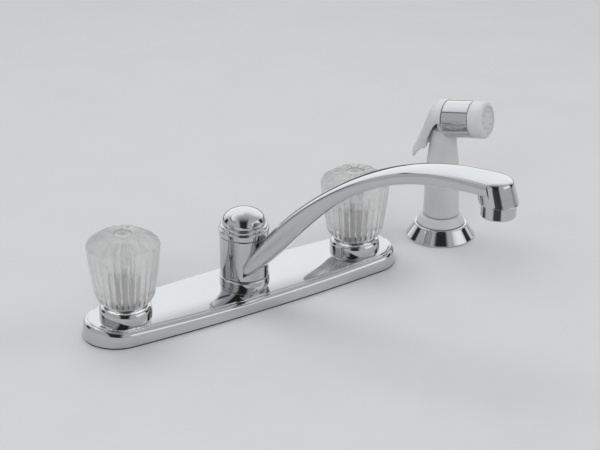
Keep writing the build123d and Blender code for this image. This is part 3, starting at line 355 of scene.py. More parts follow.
@dataclass(frozen=True)
class CastBrass(Finish):
    """Sand cast and machined brass, a little dull."""

    def dress(self, sheet: ShaderSheet) -> None:
        """Tarnish in clouds over a grainy skin."""
        tarnish = sheet.speckle(7.0, 4.0)
        grain = sheet.speckle(0.5, 3.0)
        colour = sheet.blend(tarnish.spread(0.35, 0.7, 0.0, 1.0), (0.66, 0.49, 0.24), (0.43, 0.31, 0.15))
        rough = 0.26 + tarnish * 0.22 + grain * 0.08
        sheet.finish({"Base Color": colour, "Metallic": 1.0, "Roughness": rough,
                      "Normal": sheet.relief(grain, 0.05, 0.6)})


@dataclass(frozen=True)
class BlackRubber(Finish):
    """Soft black rubber with a dusty bloom."""

    def dress(self, sheet: ShaderSheet) -> None:
        """Grey bloom in patches over a matt grain."""
        bloom = sheet.speckle(5.0, 4.0)
        grain = sheet.speckle(0.3, 2.0)
        colour = sheet.blend(bloom.spread(0.4, 0.75, 0.0, 1.0), (0.014, 0.014, 0.015), (0.045, 0.045, 0.047))
        sheet.finish({"Base Color": colour, "Roughness": 0.62 + grain * 0.2,
                      "Normal": sheet.relief(grain, 0.03, 0.7)})


@dataclass(frozen=True)
class BrightSteel(Finish):
    """Stainless steel with turning marks."""

    def dress(self, sheet: ShaderSheet) -> None:
        """Fine lines from the tool in the gloss and the relief."""
        lines = sheet.speckle(0.6, 3.0, sheet.place(stretch=(1.0, 1.0, 9.0)))
        colour = sheet.blend(lines, (0.58, 0.58, 0.57), (0.70, 0.70, 0.69))
        sheet.finish({"Base Color": colour, "Metallic": 1.0, "Roughness": 0.2 + lines * 0.16,
                      "Normal": sheet.relief(lines, 0.01, 0.5)})


CHROME = PolishedChrome("polished_chrome", Slot.CHROME)
WHITE_PLASTIC = MouldedPlastic("white_plastic_skin", Slot.WHITE, (0.60, 0.605, 0.61), 0.34)
PALE_PLASTIC = MouldedPlastic("pale_plastic_skin", Slot.WHITE, (0.64, 0.643, 0.645), 0.30)
GREY_PLASTIC = MouldedPlastic("grey_plastic_skin", Slot.GREY, (0.55, 0.525, 0.49), 0.34)
BLACK_PLASTIC = MouldedPlastic("black_plastic_skin", Slot.BLACK, (0.03, 0.03, 0.032), 0.38, 0.5)
BRASS = CastBrass("cast_brass", Slot.BRASS)
RUBBER = BlackRubber("black_rubber", Slot.RUBBER)
STEEL = BrightSteel("bright_steel", Slot.STEEL)


# ---------------------------------------------------------------- places and surfaces
@dataclass(frozen=True)
class Place:
    """A place to work in: an origin in millimetres and three unit directions."""

    origin: tuple[float, float, float] = (0.0, 0.0, 0.0)
    along_x: tuple[float, float, float] = (1.0, 0.0, 0.0)
    along_y: tuple[float, float, float] = (0.0, 1.0, 0.0)
    along_z: tuple[float, float, float] = (0.0, 0.0, 1.0)

    def put(self, points: np.ndarray) -> np.ndarray:
        """Points of this place (last axis x, y, z) in the row frame, in millimetres."""
        turn = np.array([self.along_x, self.along_y, self.along_z], float)
        return np.array(self.origin, float) + points @ turn


def upright(x: float = 0.0, y: float = 0.0) -> Place:
    """The place of an upright axis at x, y."""
    return Place((x, y, 0.0))


def heading_place(heading: float, x: float = 0.0, y: float = 0.0) -> Place:
    """A place whose x runs level along a heading in degrees, and whose y is its left side."""
    turn = math.radians(heading)
    c, s = math.cos(turn), math.sin(turn)
    return Place((x, y, 0.0), (c, s, 0.0), (-s, c, 0.0), (0.0, 0.0, 1.0))


def spline_through(knots: Sequence[Sequence[float]], steps: int) -> np.ndarray:
    """Smooth curve through knots, evenly stepped: a natural cubic in each coordinate over chord length.

    Args:
        knots: the points that the curve passes through.
        steps: how many points come back.

    Returns:
        An array of steps points.
    """
    points = np.array(knots, float)
    reach = np.r_[0.0, np.cumsum(np.linalg.norm(np.diff(points, axis=0), axis=1))]
    gap = np.diff(reach)
    count = len(points)
    system = np.eye(count)
    right = np.zeros_like(points)
    inner = np.arange(1, count - 1)
    system[inner, inner - 1] = gap[:-1]
    system[inner, inner] = 2 * (gap[:-1] + gap[1:])
    system[inner, inner + 1] = gap[1:]
    slope = np.diff(points, axis=0) / gap[:, None]
    right[1:-1] = 6 * np.diff(slope, axis=0)
    bend = np.linalg.solve(system, right)
    fine = np.linspace(0.0, reach[-1], steps * 4)

    def value(at: np.ndarray) -> np.ndarray:
        """The cubic at these lengths."""
        k = np.clip(np.searchsorted(reach, at, side="right") - 1, 0, count - 2)
        h = gap[k][:, None]
        a = (reach[k + 1] - at)[:, None]
        b = (at - reach[k])[:, None]
        return (
            bend[k] * a**3 / (6 * h)
            + bend[k + 1] * b**3 / (6 * h)
            + (points[k] / h - bend[k] * h / 6) * a
            + (points[k + 1] / h - bend[k + 1] * h / 6) * b
        )

    dense = value(fine)
    length = np.r_[0.0, np.cumsum(np.linalg.norm(np.diff(dense, axis=0), axis=1))]
    return value(np.interp(np.linspace(0, length[-1], steps), length, fine))


def rounded(corners: Sequence[Sequence[float]], closed: bool = True, hold: float = 0.12) -> np.ndarray:
    """A profile whose corners are turned by small arcs, with a point held just before and after each.

    A round is cut short where its run is short: to 0.46 of a run that ends in another round, else to 0.92.

    Args:
        corners: (across, up, round radius) of each corner, in order.
        closed: whether the last corner joins the first.
        hold: how far along the straight run the held points are, in millimetres.

    Returns:
        The profile's points.
    """
    spots = np.array([c[:2] for c in corners], float)
    rounds = [c[2] if len(c) > 2 else 0.0 for c in corners]
    count = len(spots)
    made: list[np.ndarray] = []
    for i, spot in enumerate(spots):
        radius = rounds[i]
        if radius <= 0 or (not closed and i in (0, count - 1)):
            made.append(spot[None])
            continue
        back = spots[i - 1] - spot
        on = spots[(i + 1) % count] - spot
        back_len, on_len = np.linalg.norm(back), np.linalg.norm(on)
        back, on = back / back_len, on / on_len
        turn = math.acos(float(np.clip(back @ on, -1, 1)))
        if turn > math.pi - 0.02:
            made.append(spot[None])
            continue
        back_share = SHARED_RUN if rounds[i - 1] > 0 else WHOLE_RUN
        on_share = SHARED_RUN if rounds[(i + 1) % count] > 0 else WHOLE_RUN
        reach = min(radius / math.tan(turn / 2), back_share * back_len, on_share * on_len)
        radius = reach * math.tan(turn / 2)
        middle = back + on
        centre = spot + middle / np.linalg.norm(middle) * radius / math.sin(turn / 2)
        first = spot + back * reach - centre
        last = spot + on * reach - centre
        sweep = math.pi - turn
        steps = max(3, int(math.degrees(sweep) / ARC_STEP) + 1)
        t = np.linspace(0, 1, steps)[:, None]
        arc = centre + (np.sin((1 - t) * sweep) * first + np.sin(t * sweep) * last) / math.sin(sweep)
        before = spot + back * min(reach + hold, (reach + back_len) / 2)
        after = spot + on * min(reach + hold, (reach + on_len) / 2)
        made.extend((before[None], arc, after[None]))
    return np.vstack(made)


def full_turn(steps: int) -> np.ndarray:
    """Angles of one turn, as a column."""
    return np.linspace(0, 2 * np.pi, steps, endpoint=False)[:, None]


def ringed(t: np.ndarray, radius: object, height: object, centre: object = 0.0) -> np.ndarray:
    """Points round an axis: x = centre + r cos t, y = r sin t, z = height, each steady or by turn."""
    return np.stack(np.broadcast_arrays(centre + radius * np.cos(t), radius * np.sin(t), height + 0 * t), axis=-1)


def turned(profile: np.ndarray, place: Place, steps: int = 160) -> np.ndarray:
    """Grid of a profile, as (radius, height) points, turned about a place's z axis."""
    return place.put(ringed(full_turn(steps), profile[:, 0][None], profile[:, 1][None]))


@dataclass
class Skin:
    """A mesh in the making: grids of points whose neighbours are joined by faces."""

    name: str
    verts: list[np.ndarray] = field(default_factory=list)
    faces: list[np.ndarray] = field(default_factory=list)
    count: int = 0

    def grid(self, points: np.ndarray, wrap_u: bool = False, wrap_v: bool = False) -> "Skin":
        """Adds a grid of points.

        Args:
            points: rows by columns of x, y, z in millimetres in the row frame.
            wrap_u: whether the last row joins the first.
            wrap_v: whether the last column joins the first.

        Returns:
            This skin.
        """
        rows, columns = points.shape[:2]
        number = self.count + np.arange(rows * columns).reshape(rows, columns)
        if wrap_u:
            number = np.vstack([number, number[:1]])
        if wrap_v:
            number = np.hstack([number, number[:, :1]])
        quads = np.stack([number[:-1, :-1], number[1:, :-1], number[1:, 1:], number[:-1, 1:]], axis=-1)
        self.verts.append(points.reshape(-1, 3))
        self.faces.append(quads.reshape(-1, 4))
        self.count += rows * columns
        return self

    def build(self, sharp: float = 32.0) -> bpy.types.Object:
        """Makes the mesh, joins what coincides and turns the faces outwards.

        Args:
            sharp: the angle in degrees over which an edge is shown as sharp.

        Returns:
            The new object, at the origin.
        """
        mesh = bpy.data.meshes.new(self.name)
        mesh.from_pydata(np.vstack(self.verts) * MM, [], np.vstack(self.faces))
        work = bmesh.new()
        work.from_mesh(mesh)
        bmesh.ops.remove_doubles(work, verts=work.verts, dist=1e-6)
        bmesh.ops.dissolve_degenerate(work, edges=work.edges, dist=1e-7)
        bmesh.ops.recalc_face_normals(work, faces=work.faces)
        work.to_mesh(mesh)
        work.free()
        mesh.shade_smooth()
        mesh.set_sharp_from_angle(angle=math.radians(sharp))
        made = bpy.data.objects.new(self.name, mesh)
        bpy.context.scene.collection.objects.link(made)
        return made


def revolve(
    name: str, profile: np.ndarray, place: Place, steps: int = 160, closed: bool = True, sharp: float = 40.0
) -> bpy.types.Object:
    """Makes a turned piece.

    Args:
        name: name of the piece.
        profile: its (radius, height) points.
        place: the place whose z axis it is turned about.
        steps: how many steps a full turn has.
        closed: whether the profile's end joins its start; one that isn't closed ends on the axis.
        sharp: the angle in degrees over which an edge is shown as sharp.

    Returns:
        The new object.
    """
    return Skin(name).grid(turned(profile, place, steps), True, closed).build(sharp)


def dress(piece: bpy.types.Object, finish: Finish, body: str, *nodes: str) -> bpy.types.Object:
    """Gives a new piece its finish, its body and the CAD nodes that it stands for.

    Args:
        piece: the new object.
        finish: its finish.
        body: the CAD body that it moves with.
        nodes: the CAD nodes that it replaces.

    Returns:
        The piece.
    """
    piece.data.materials.clear()
    piece.data.materials.append(finish.make())
    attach(piece, body)
    if nodes:
        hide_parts(*nodes)
    LOG.info("piece %s: %d faces, %s, rides %s", piece.name, len(piece.data.polygons), finish.name, body)
    return piece


def paint(frame: dict, finish: Finish, *nodes: str) -> None:
    """Gives CAD nodes whose shape is kept a better material.

    Args:
        finish: the finish.
        nodes: names of the CAD nodes.
    """
    for name in nodes:
        node = frame["nodes"][name]
        if not node.material_slots:
            node.data.materials.append(finish.make())
        for material_slot in node.material_slots:
            material_slot.material = finish.make()


# ---------------------------------------------------------------- deck plate
@dataclass
class DeckPlate:
    """Chrome deck plate with bowed sides, a rolled edge and a top that falls towards the sink, and its gasket.

    The fall, the rolled edge and the crease are forms of the looks alone: the CAD solid has a flat top.
    """

    end_x: float = 108.5
    end_r: float = 26.2
    half_w: float = 30.1
    foot: float = 1.2
    top: float = 14.3
    draft: float = 7.5
    roll_start: float = 9.4
    roll_width: float = 3.2
    crease_inset: float = 4.3
    fall_start: float = 6.0
    fall_radius: float = 58.6
    fall_low: float = 6.0
    inner_draft: float = 15.0
    wall: float = 2.4
    roof: float = 11.8
    steps: int = 96

    def outline(self, inset: float) -> np.ndarray:
        """Outline moved inwards: two round ends joined by large arcs, the same steps at every inset."""
        end_r = self.end_r - inset
        half_w = self.half_w - inset
        side_r = (self.end_x**2 + half_w**2 - end_r**2) / (2 * (half_w - end_r))
        lean = math.atan2(self.end_x, side_r - half_w)
        end = np.linspace(math.pi / 2 - lean, lean - math.pi / 2, self.steps)
        side = np.linspace(-math.pi / 2 + lean, -math.pi / 2 - lean, self.steps)[1:-1]
        right = np.stack([self.end_x + end_r * np.cos(end), end_r * np.sin(end)], axis=-1)
        front = np.stack([side_r * np.cos(side), side_r - half_w + side_r * np.sin(side)], axis=-1)
        half = np.vstack([right, front])
        return np.vstack([half, -half])

    def profile(self) -> np.ndarray:
        """Section of the wall as (inset, height), from under the roof, round the foot, up and onto the top."""
        shelf = (self.roll_start - self.foot) * math.tan(math.radians(self.draft))
        inner = self.wall + (self.roof - self.foot) * math.tan(math.radians(self.inner_draft))
        inside = rounded([(20.0, self.roof, 0), (inner, self.roof, 0.8), (self.wall, self.foot, 0.1),
                          (0.0, self.foot, 0.25), (shelf * 0.96, self.roll_start - 0.3, 0)], closed=False)
        roll = np.linspace(0, 1, 15)[:, None] * np.pi / 2 * 0.95
        rise = self.top - 0.65 - self.roll_start
        edge = np.hstack([shelf + self.roll_width * (1 - np.cos(roll)), self.roll_start + rise * np.sin(roll)])
        at = self.crease_inset
        crease = rounded([(at, self.top - 0.72, 0), (at + 0.35, self.top - 0.3, 0.3), (at + 1.2, self.top, 0.5),
                          (at + 2.6, self.top, 0)], closed=False)
        top = np.column_stack([np.linspace(8.5, 26.0, 13), np.full(13, self.top)])
        return np.vstack([inside, edge, crease, top])

    def fallen(self, points: np.ndarray) -> np.ndarray:
        """The points let down towards the sink: z - (-y - start)^2 / 2R in front, in full at the top."""
        drop = np.maximum(0.0, -points[:, 1] - self.fall_start) ** 2 / (2 * self.fall_radius)
        points[:, 2] -= drop * np.clip((points[:, 2] - self.fall_low) / (self.top - self.fall_low), 0, 1)
        return points

    def build(self, frame: dict) -> None:
        """Makes the plate as outline by section: each section point moves the whole outline inwards."""
        rings = [
            self.fallen(np.column_stack([self.outline(inset), np.full(4 * self.steps - 4, height)]))
            for inset, height in self.profile()
        ]
        spine = [ring * [1, 0, 1] for ring in (rings[0], rings[-1])]
        for row in spine:
            row[:, 0] = np.clip(row[:, 0], -self.end_x, self.end_x)
        grid = np.stack([spine[0], *rings, spine[1]], axis=1)
        dress(Skin("deck_plate_shell").grid(grid, wrap_u=True).build(26.0), CHROME, "base", "deck_plate")
        paint(frame, RUBBER, "deck_gasket")


# ---------------------------------------------------------------- handles
class Side(Enum):
    """Which handle: its name and the place of its axis along the plate."""

    LEFT = ("left", -101.6)
    RIGHT = ("right", 101.6)


@dataclass
class Handle:
    """One handle: chrome bonnet, clear fluted knob, the insert inside it, its screw and cap."""

    side: Side
    bonnet_r: float = 19.5
    bonnet_foot: float = 12.3
    bonnet_top: float = 22.9
    knob_low: float = 23.8
    knob_top: float = 77.8
    pocket_r: float = 6.6
    pocket_floor: float = 75.6
    screw_seat: float = 54.0
    socket_r: float = 8.3
    socket_top: float = 50.0
    flutes: int = 32
    flute_depth: float = 1.05
    flute_bottom: float = 28.4
    flute_fade: float = 68.0
    flute_steps: int = 18
    star_points: int = 15
    star_low: float = 70.6
    cap_r: float = 6.7

    def bonnet(self) -> None:
        """Domed collar: a short wall, a shoulder that is most of a quarter round and a flat top."""
        name, x = self.side.value
        turn = np.linspace(0, 1, 18)[:, None]
        shoulder = np.hstack([self.bonnet_r - 6.1 * turn**2.2, 16.0 + 6.9 * (1 - (1 - turn) ** 2.2)])
        profile = np.vstack([
            [[12.1, self.bonnet_foot], [self.bonnet_r, self.bonnet_foot], [self.bonnet_r, 14.55]],
            shoulder,
            [[13.1, self.bonnet_top], [7.0, self.bonnet_top], [6.2, 22.8], [6.2, 20.8], [12.1, 20.8]],
        ])
        dress(revolve(f"{name}_bonnet_shell", profile, upright(x)), CHROME, "base", f"{name}_bonnet")

    def side_radius(self, height: np.ndarray) -> np.ndarray:
        """Radius of the knob's side: a slow swell from the waist to the shoulder."""
        return np.interp(
            height,
            [23.8, 24.4, 25.6, 27.2, 28.8, 30.0, 32.0, 40.0, 47.0, 56.0, 63.0, 68.5],
            [16.3, 17.2, 18.5, 19.7, 20.6, 21.15, 21.75, 23.2, 24.3, 25.45, 26.15, 26.6],
        )

    def knob(self) -> None:
        """Grid of turn by profile: radius = side(z) - depth * fade(z) * flute(turn), with a star crown."""
        name, x = self.side.value
        t = full_turn(self.flutes * self.flute_steps)
        z = np.r_[np.linspace(self.knob_low, 30.8, 22), np.linspace(31.5, 67.6, 50)]
        wall = self.side_radius(z)
        kernel = np.ones(5) / 5
        wall[3:-3] = np.convolve(wall, kernel, "same")[3:-3]
        lip = (self.pocket_r, self.knob_top, 0)
        crown = rounded([(26.5, 67.7, 0), (26.65, 68.9, 1.2), (25.5, 71.2, 1.6), (16.0, 77.5, 2.6), lip], closed=False)
        slope = np.linspace(0, 1, 8)[1:-1, None]
        crown = np.vstack([crown[:-7], crown[-8] + (crown[-7] - crown[-8]) * slope, crown[-7:]])
        profile = np.vstack([np.column_stack([wall, z]), crown])
        height = profile[:, 1][None]
        rise = np.clip((height - self.flute_bottom) / 1.6, 0, 1)
        fade = np.clip((self.flute_fade - height) / 26.0, 0, 1)
        wave = np.abs(np.sin(self.flutes * t / 2))
        groove = 1 - np.sqrt(1 - (1 - wave) ** 2 * 0.98)
        depth = self.flute_depth * 1.25 * rise * np.sqrt(fade) * groove
        side = profile[:, 0][None]
        star = 0.32 * np.clip((height - self.star_low) / 2.0, 0, 1) * np.clip((side - self.cap_r) / 6.0, 0, 1)
        lift = height - star * (0.5 + 0.5 * np.cos(self.star_points * t)) * 1.6
        grid = ringed(t, side - depth, lift)
        inner = rounded(
            [lip, (self.pocket_r, self.pocket_floor, 0), (4.2, self.pocket_floor, 0), (4.2, self.screw_seat, 0),
             (2.2, self.screw_seat, 0), (2.2, self.socket_top, 0), (self.socket_r, self.socket_top, 0.6),
             (self.socket_r, 24.2, 0.4), (9.0, self.knob_low, 0), (15.6, self.knob_low, 0), (16.3, self.knob_low, 0)],
            closed=False,
        )
        inside = ringed(t, inner[:, 0][None], inner[:, 1][None])
        whole = upright(x).put(np.concatenate([grid, inside], axis=1))
        acrylic = CutAcrylic(f"{name}_clear_acrylic", Slot.ACRYLIC, x)
        skin = Skin(f"{name}_knob_body").grid(whole, True, True)
        dress(skin.build(50.0), acrylic, f"{name}_handle", f"{name}_knob")

    def cap(self) -> None:
        """Index cap: a low dome with a turned edge, set in the crown."""
        name, x = self.side.value
        middle = (0.0, self.knob_top, 0)
        profile = rounded([(0.0, 75.65, 0), (6.5, 75.65, 0.2), (6.5, 77.3, 0.5), (4.6, 77.75, 1.5), middle],
                          closed=False)
        acrylic = CutAcrylic(f"{name}_cap_acrylic", Slot.ACRYLIC, x, clarity=0.35)
        button = revolve(f"{name}_index_button", profile, upright(x), 96, closed=False)
        dress(button, acrylic, f"{name}_handle", f"{name}_index_cap")

    def build(self, frame: dict) -> None:
        """Makes the handle's pieces and paints the ones that stay as the CAD has them."""
        name, _ = self.side.value
        self.bonnet()
        self.knob()
        self.cap()
        paint(frame, GREY_PLASTIC, f"{name}_handle_insert")
        paint(frame, STEEL, f"{name}_handle_screw", f"{name}_seat_spring")
        paint(frame, GREY_PLASTIC, f"{name}_stem")
        paint(frame, RUBBER, f"{name}_stem_o_ring", f"{name}_valve_seat")


# ---------------------------------------------------------------- spout
@dataclass
class Spout:
    """Swinging spout: hub, arched arm and outlet boss, the aerator under it, ring and domed nut."""

    heading: float = -64.2
    hub_r: float = 18.4
    hub_low: float = 19.6
    hub_top: float = 51.6
    hub_bore: float = 12.6
    ring_bore: float = 12.7
    ring_foot: float = 12.8
    ring_top: float = 19.3
    dome_r: float = 16.3
    dome_low: float = 61.4
    tip: float = 199.1
    tip_r: float = 12.9
    outlet: float = 203.2
    outlet_r: float = 13.75
    outlet_low: float = 121.4
    boss_start: float = 137.0
    crown_depth: float = 4.6
    tip_crown_depth: float = 3.4
    belly_depth: float = 4.0
    stations: int = 150
    nose_steps: int = 40
    line_steps: int = 400
    join_start: float = 150.0
    slim_start: float = 130.0
    post_clear: float = 15.2

    def arm_lines(self) -> tuple[np.ndarray, np.ndarray]:
        """The arm's upper and lower lines in its side view, as (reach, height)."""
        upper = [(9.0, 36.5), (31, 66.2), (54, 88.5), (86, 111.9), (118, 128.0), (150, 137.1), (179.1, 139.3),
                 (212, 137.8)]
        lower = [(9.0, 20.5), (25, 35.2), (45, 57.2), (78, 91.6), (110, 112.8), (145, 124.0), (212, 127.6)]
        return spline_through(upper, self.line_steps), spline_through(lower, self.line_steps)

    def boss_circle(self, height: np.ndarray) -> tuple[np.ndarray, np.ndarray]:
        """Centre and radius of the outlet boss at a height; it widens and leans outwards on its way down."""
        down = np.clip((self.boss_start - height) / (self.boss_start - self.outlet_low), 0.0, 1.0)
        return self.tip + (self.outlet - self.tip) * down, self.tip_r + (self.outlet_r - self.tip_r) * down

    def arm(self) -> np.ndarray:
        """Grid of the arm: its rows are stations round the outline, its columns go from the top's middle to below.

        The outline, seen from above, is the two flanks joined by the round nose. Each row starts on the middle
        line of the top, bends over the edge as part of an oval, goes down the wall and back underneath.
        """
        upper, lower = self.arm_lines()
        share = np.linspace(0, 1, self.stations)
        line = np.linspace(0, 1, self.line_steps)
        reach_top = np.interp(share, line, upper[:, 0])
        keep = share[reach_top < self.tip]
        keep = np.r_[keep, np.interp(self.tip, upper[:, 0], line)]
        nose = np.linspace(np.pi / 2, -np.pi / 2, self.nose_steps)
        u = np.r_[keep, np.full(self.nose_steps, keep[-1]), keep[::-1]]
        angle = np.r_[np.full(len(keep), np.pi / 2), nose, np.full(len(keep), -np.pi / 2)]
        on_nose = np.r_[np.zeros(len(keep)), np.ones(self.nose_steps), np.zeros(len(keep))][:, None]
        top, low = (np.stack([np.interp(u, line, curve[:, k]) for k in (0, 1)], axis=-1) for curve in (upper, lower))
        last_low = np.array([self.tip, np.interp(self.tip, lower[:, 0], lower[:, 1])])
        near = np.clip((top[:, :1] - self.join_start) / (self.tip - self.join_start), 0, 1) ** 2
        plumb = np.where(np.arange(2) == 0, top, np.interp(top[:, :1], lower[:, 0], lower[:, 1]))
        low = low * (1 - near) + near * plumb
        low = np.where(on_nose > 0, last_low, low)
        over = np.r_[0.0, 0.12, 0.25, np.linspace(0.38, 1.0, 15)] * np.pi / 2
        walls = np.linspace(0, 1, 8)[1:-1]
        columns = []
        for kind, values in (("crown", over), ("wall", walls), ("belly", over[::-1])):
            for value in values:
                columns.append(self.arm_column(kind, float(value), top, low, angle, on_nose[:, 0]))
        return np.stack(columns, axis=1)

    def arm_column(
        self, kind: str, value: float, top: np.ndarray, low: np.ndarray, angle: np.ndarray, on_nose: np.ndarray
    ) -> np.ndarray:
        """One column of the arm's grid: the same point of the section at all stations.

        Crown and belly are quarters of an oval of power n: across = |sin v|^(2/n), depth = 1 - |cos v|^(2/n).

        Args:
            kind: which part of the section: crown, wall or belly.
            value: the angle in the crown or belly, or the share of the wall.
            top: upper points of the stations.
            low: lower points of the stations.
            angle: where each station is round the nose; a right angle on the flanks.
            on_nose: 1 for stations of the nose.

        Returns:
            Points in the row frame.
        """
        thick = np.linalg.norm(low - top, axis=1)
        to_tip = np.clip((top[:, 0] - self.slim_start) / (self.tip - self.slim_start), 0, 1)
        crown = self.crown_depth + (self.tip_crown_depth - self.crown_depth) * to_tip
        belly = self.belly_depth * (1 - on_nose)
        power = 2.5 + 0.9 * to_tip
        share = np.ones(len(top))
        if kind == "wall":
            deep = crown + (thick - crown - belly) * value
        else:
            share = np.abs(math.sin(value)) ** (2 / power)
            bend = 1 - np.abs(math.cos(value)) ** (2 / power)
            deep = crown * bend if kind == "crown" else thick - belly * bend
        middle = top + (low - top) * (deep / thick)[:, None]
        reach, height = middle[:, 0], middle[:, 1]
        flank = np.interp(reach, *self.flank_line().T)
        centre, radius = self.boss_circle(height)
        near = np.clip((reach - self.join_start) / (self.tip - self.join_start), 0, 1)
        join = near**2 * (3 - 2 * near)
        swell = 1.1 * np.sin(np.pi * np.clip(deep / thick, 0, 1)) * (1 - on_nose)
        half = flank + (radius - self.tip_r) * join + swell
        half = np.where(on_nose > 0, radius, half) * share
        x = reach + np.where(on_nose > 0, (centre - self.tip) + half * np.cos(angle), (centre - self.tip) * join)
        y = half * np.sin(angle)
        points = heading_place(self.heading).put(np.stack([x, y, height], axis=-1))
        radial = np.hypot(points[:, 0], points[:, 1])
        push = np.maximum(radial, self.post_clear) / np.maximum(radial, 1e-6)
        return points * np.stack([push, push, np.ones_like(push)], axis=-1)

    def flank_line(self) -> np.ndarray:
        """Half width of the arm along its reach."""
        knots = [(2, 17.0), (10, 15.6), (22, 13.0), (38, 11.2), (55, 10.4), (100, 9.8), (155, 10.5), (185, 12.2),
                 (self.tip, self.tip_r)]
        return spline_through(knots, 120)

    def boss(self) -> np.ndarray:
        """Grid of the outlet boss: a leaning cone, its foot, and the bore above the foot."""
        t = full_turn(144)
        _, lower = self.arm_lines()
        edge = float(np.interp(self.tip + 6, lower[:, 0], lower[:, 1]))
        front = np.clip(np.cos(t) * 3.0, 0, 1)
        top_z = edge + 4.0 * (1 - front)
        rows = []
        for share in np.linspace(0, 1, 8):
            height = top_z + (self.outlet_low + 0.7 - top_z) * share
            centre, radius = self.boss_circle(height)
            rows.append(ringed(t, radius, height, centre))
        for back, height in ((0.08, 0.35), (0.3, 0.1), (0.7, 0.0), (2.3, 0.0), (2.6, 0.2), (2.6, 6.0)):
            rows.append(ringed(t, self.outlet_r - back, self.outlet_low + height, self.outlet))
        return heading_place(self.heading).put(np.concatenate(rows, axis=1))

    def build(self, frame: dict) -> None:
        """Makes the spout as one piece, and the ring, nut and aerator."""
        hub = rounded([(self.hub_bore, self.hub_low, 0.2), (self.hub_r, self.hub_low, 0.5),
                       (self.hub_r, self.hub_top, 0.4), (self.hub_bore, self.hub_top, 0.2)])
        skin = Skin("spout_shell").grid(self.arm()).grid(self.boss(), True)
        skin.grid(turned(hub, upright(), 192), True, True)
        dress(skin.build(34.0), CHROME, "spout", "spout")
        bore, foot, top = self.ring_bore, self.ring_foot, self.ring_top
        ring = rounded([(bore, foot, 0.1), (18.7, foot, 0.1), (19.0, 15.1, 0.6), (19.0, 18.4, 1.3), (17.9, top, 1.0),
                        (bore, top, 0.1)])
        dress(revolve("glide_collar", ring, upright()), CHROME, "base", "glide_ring")
        self.nut()
        self.aerator(frame)
        paint(frame, RUBBER, "spout_o_rings")

    def nut(self) -> None:
        """Domed nut: two rolled bands under a dome that is a little flatter than half a ball."""
        dome = np.linspace(0, 1, 34)[:, None] * np.pi / 2
        arch = np.hstack([self.dome_r * np.cos(dome) ** 0.92, self.dome_low + 10.2 * np.sin(dome) ** 0.96])
        bands = rounded(
            [(9.9, 61.3, 0), (9.9, 51.9, 0.1), (18.3, 51.9, 0.2), (18.9, 52.6, 0.5), (18.9, 56.4, 0.9),
             (18.1, 57.25, 0.4), (17.5, 57.5, 0.25), (17.9, 58.1, 0.4), (17.9, 59.3, 0.6), (17.2, 60.05, 0.5),
             (16.1, 60.3, 0.3), (self.dome_r, self.dome_low, 0)],
            closed=False,
        )
        profile = np.vstack([[[0.0, 61.3]], bands, arch[1:-1], [[0.0, 71.6]]])
        dress(revolve("domed_nut", profile, upright(), closed=False), CHROME, "base", "spout_nut")

    def aerator(self, frame: dict) -> None:
        """Aerator housing: a short cylinder with a rolled lower edge and a fine lip round the outlet."""
        place = heading_place(self.heading)
        spot = Place(tuple(place.put(np.array([self.outlet, 0.0, 0.0]))))
        profile = rounded(
            [(8.6, 111.7, 0.3), (10.4, 111.6, 0.4), (12.2, 111.9, 2.0), (12.2, 121.1, 0.35), (11.0, 121.1, 0.1),
             (11.0, 127.3, 0.2), (9.45, 127.3, 0.1), (9.45, 112.8, 0.1), (8.6, 112.7, 0.2)]
        )
        dress(revolve("aerator_shell", profile, spot, 144), CHROME, "spout", "aerator_housing")
        paint(frame, GREY_PLASTIC, "aerator_insert")
        paint(frame, RUBBER, "aerator_washer")


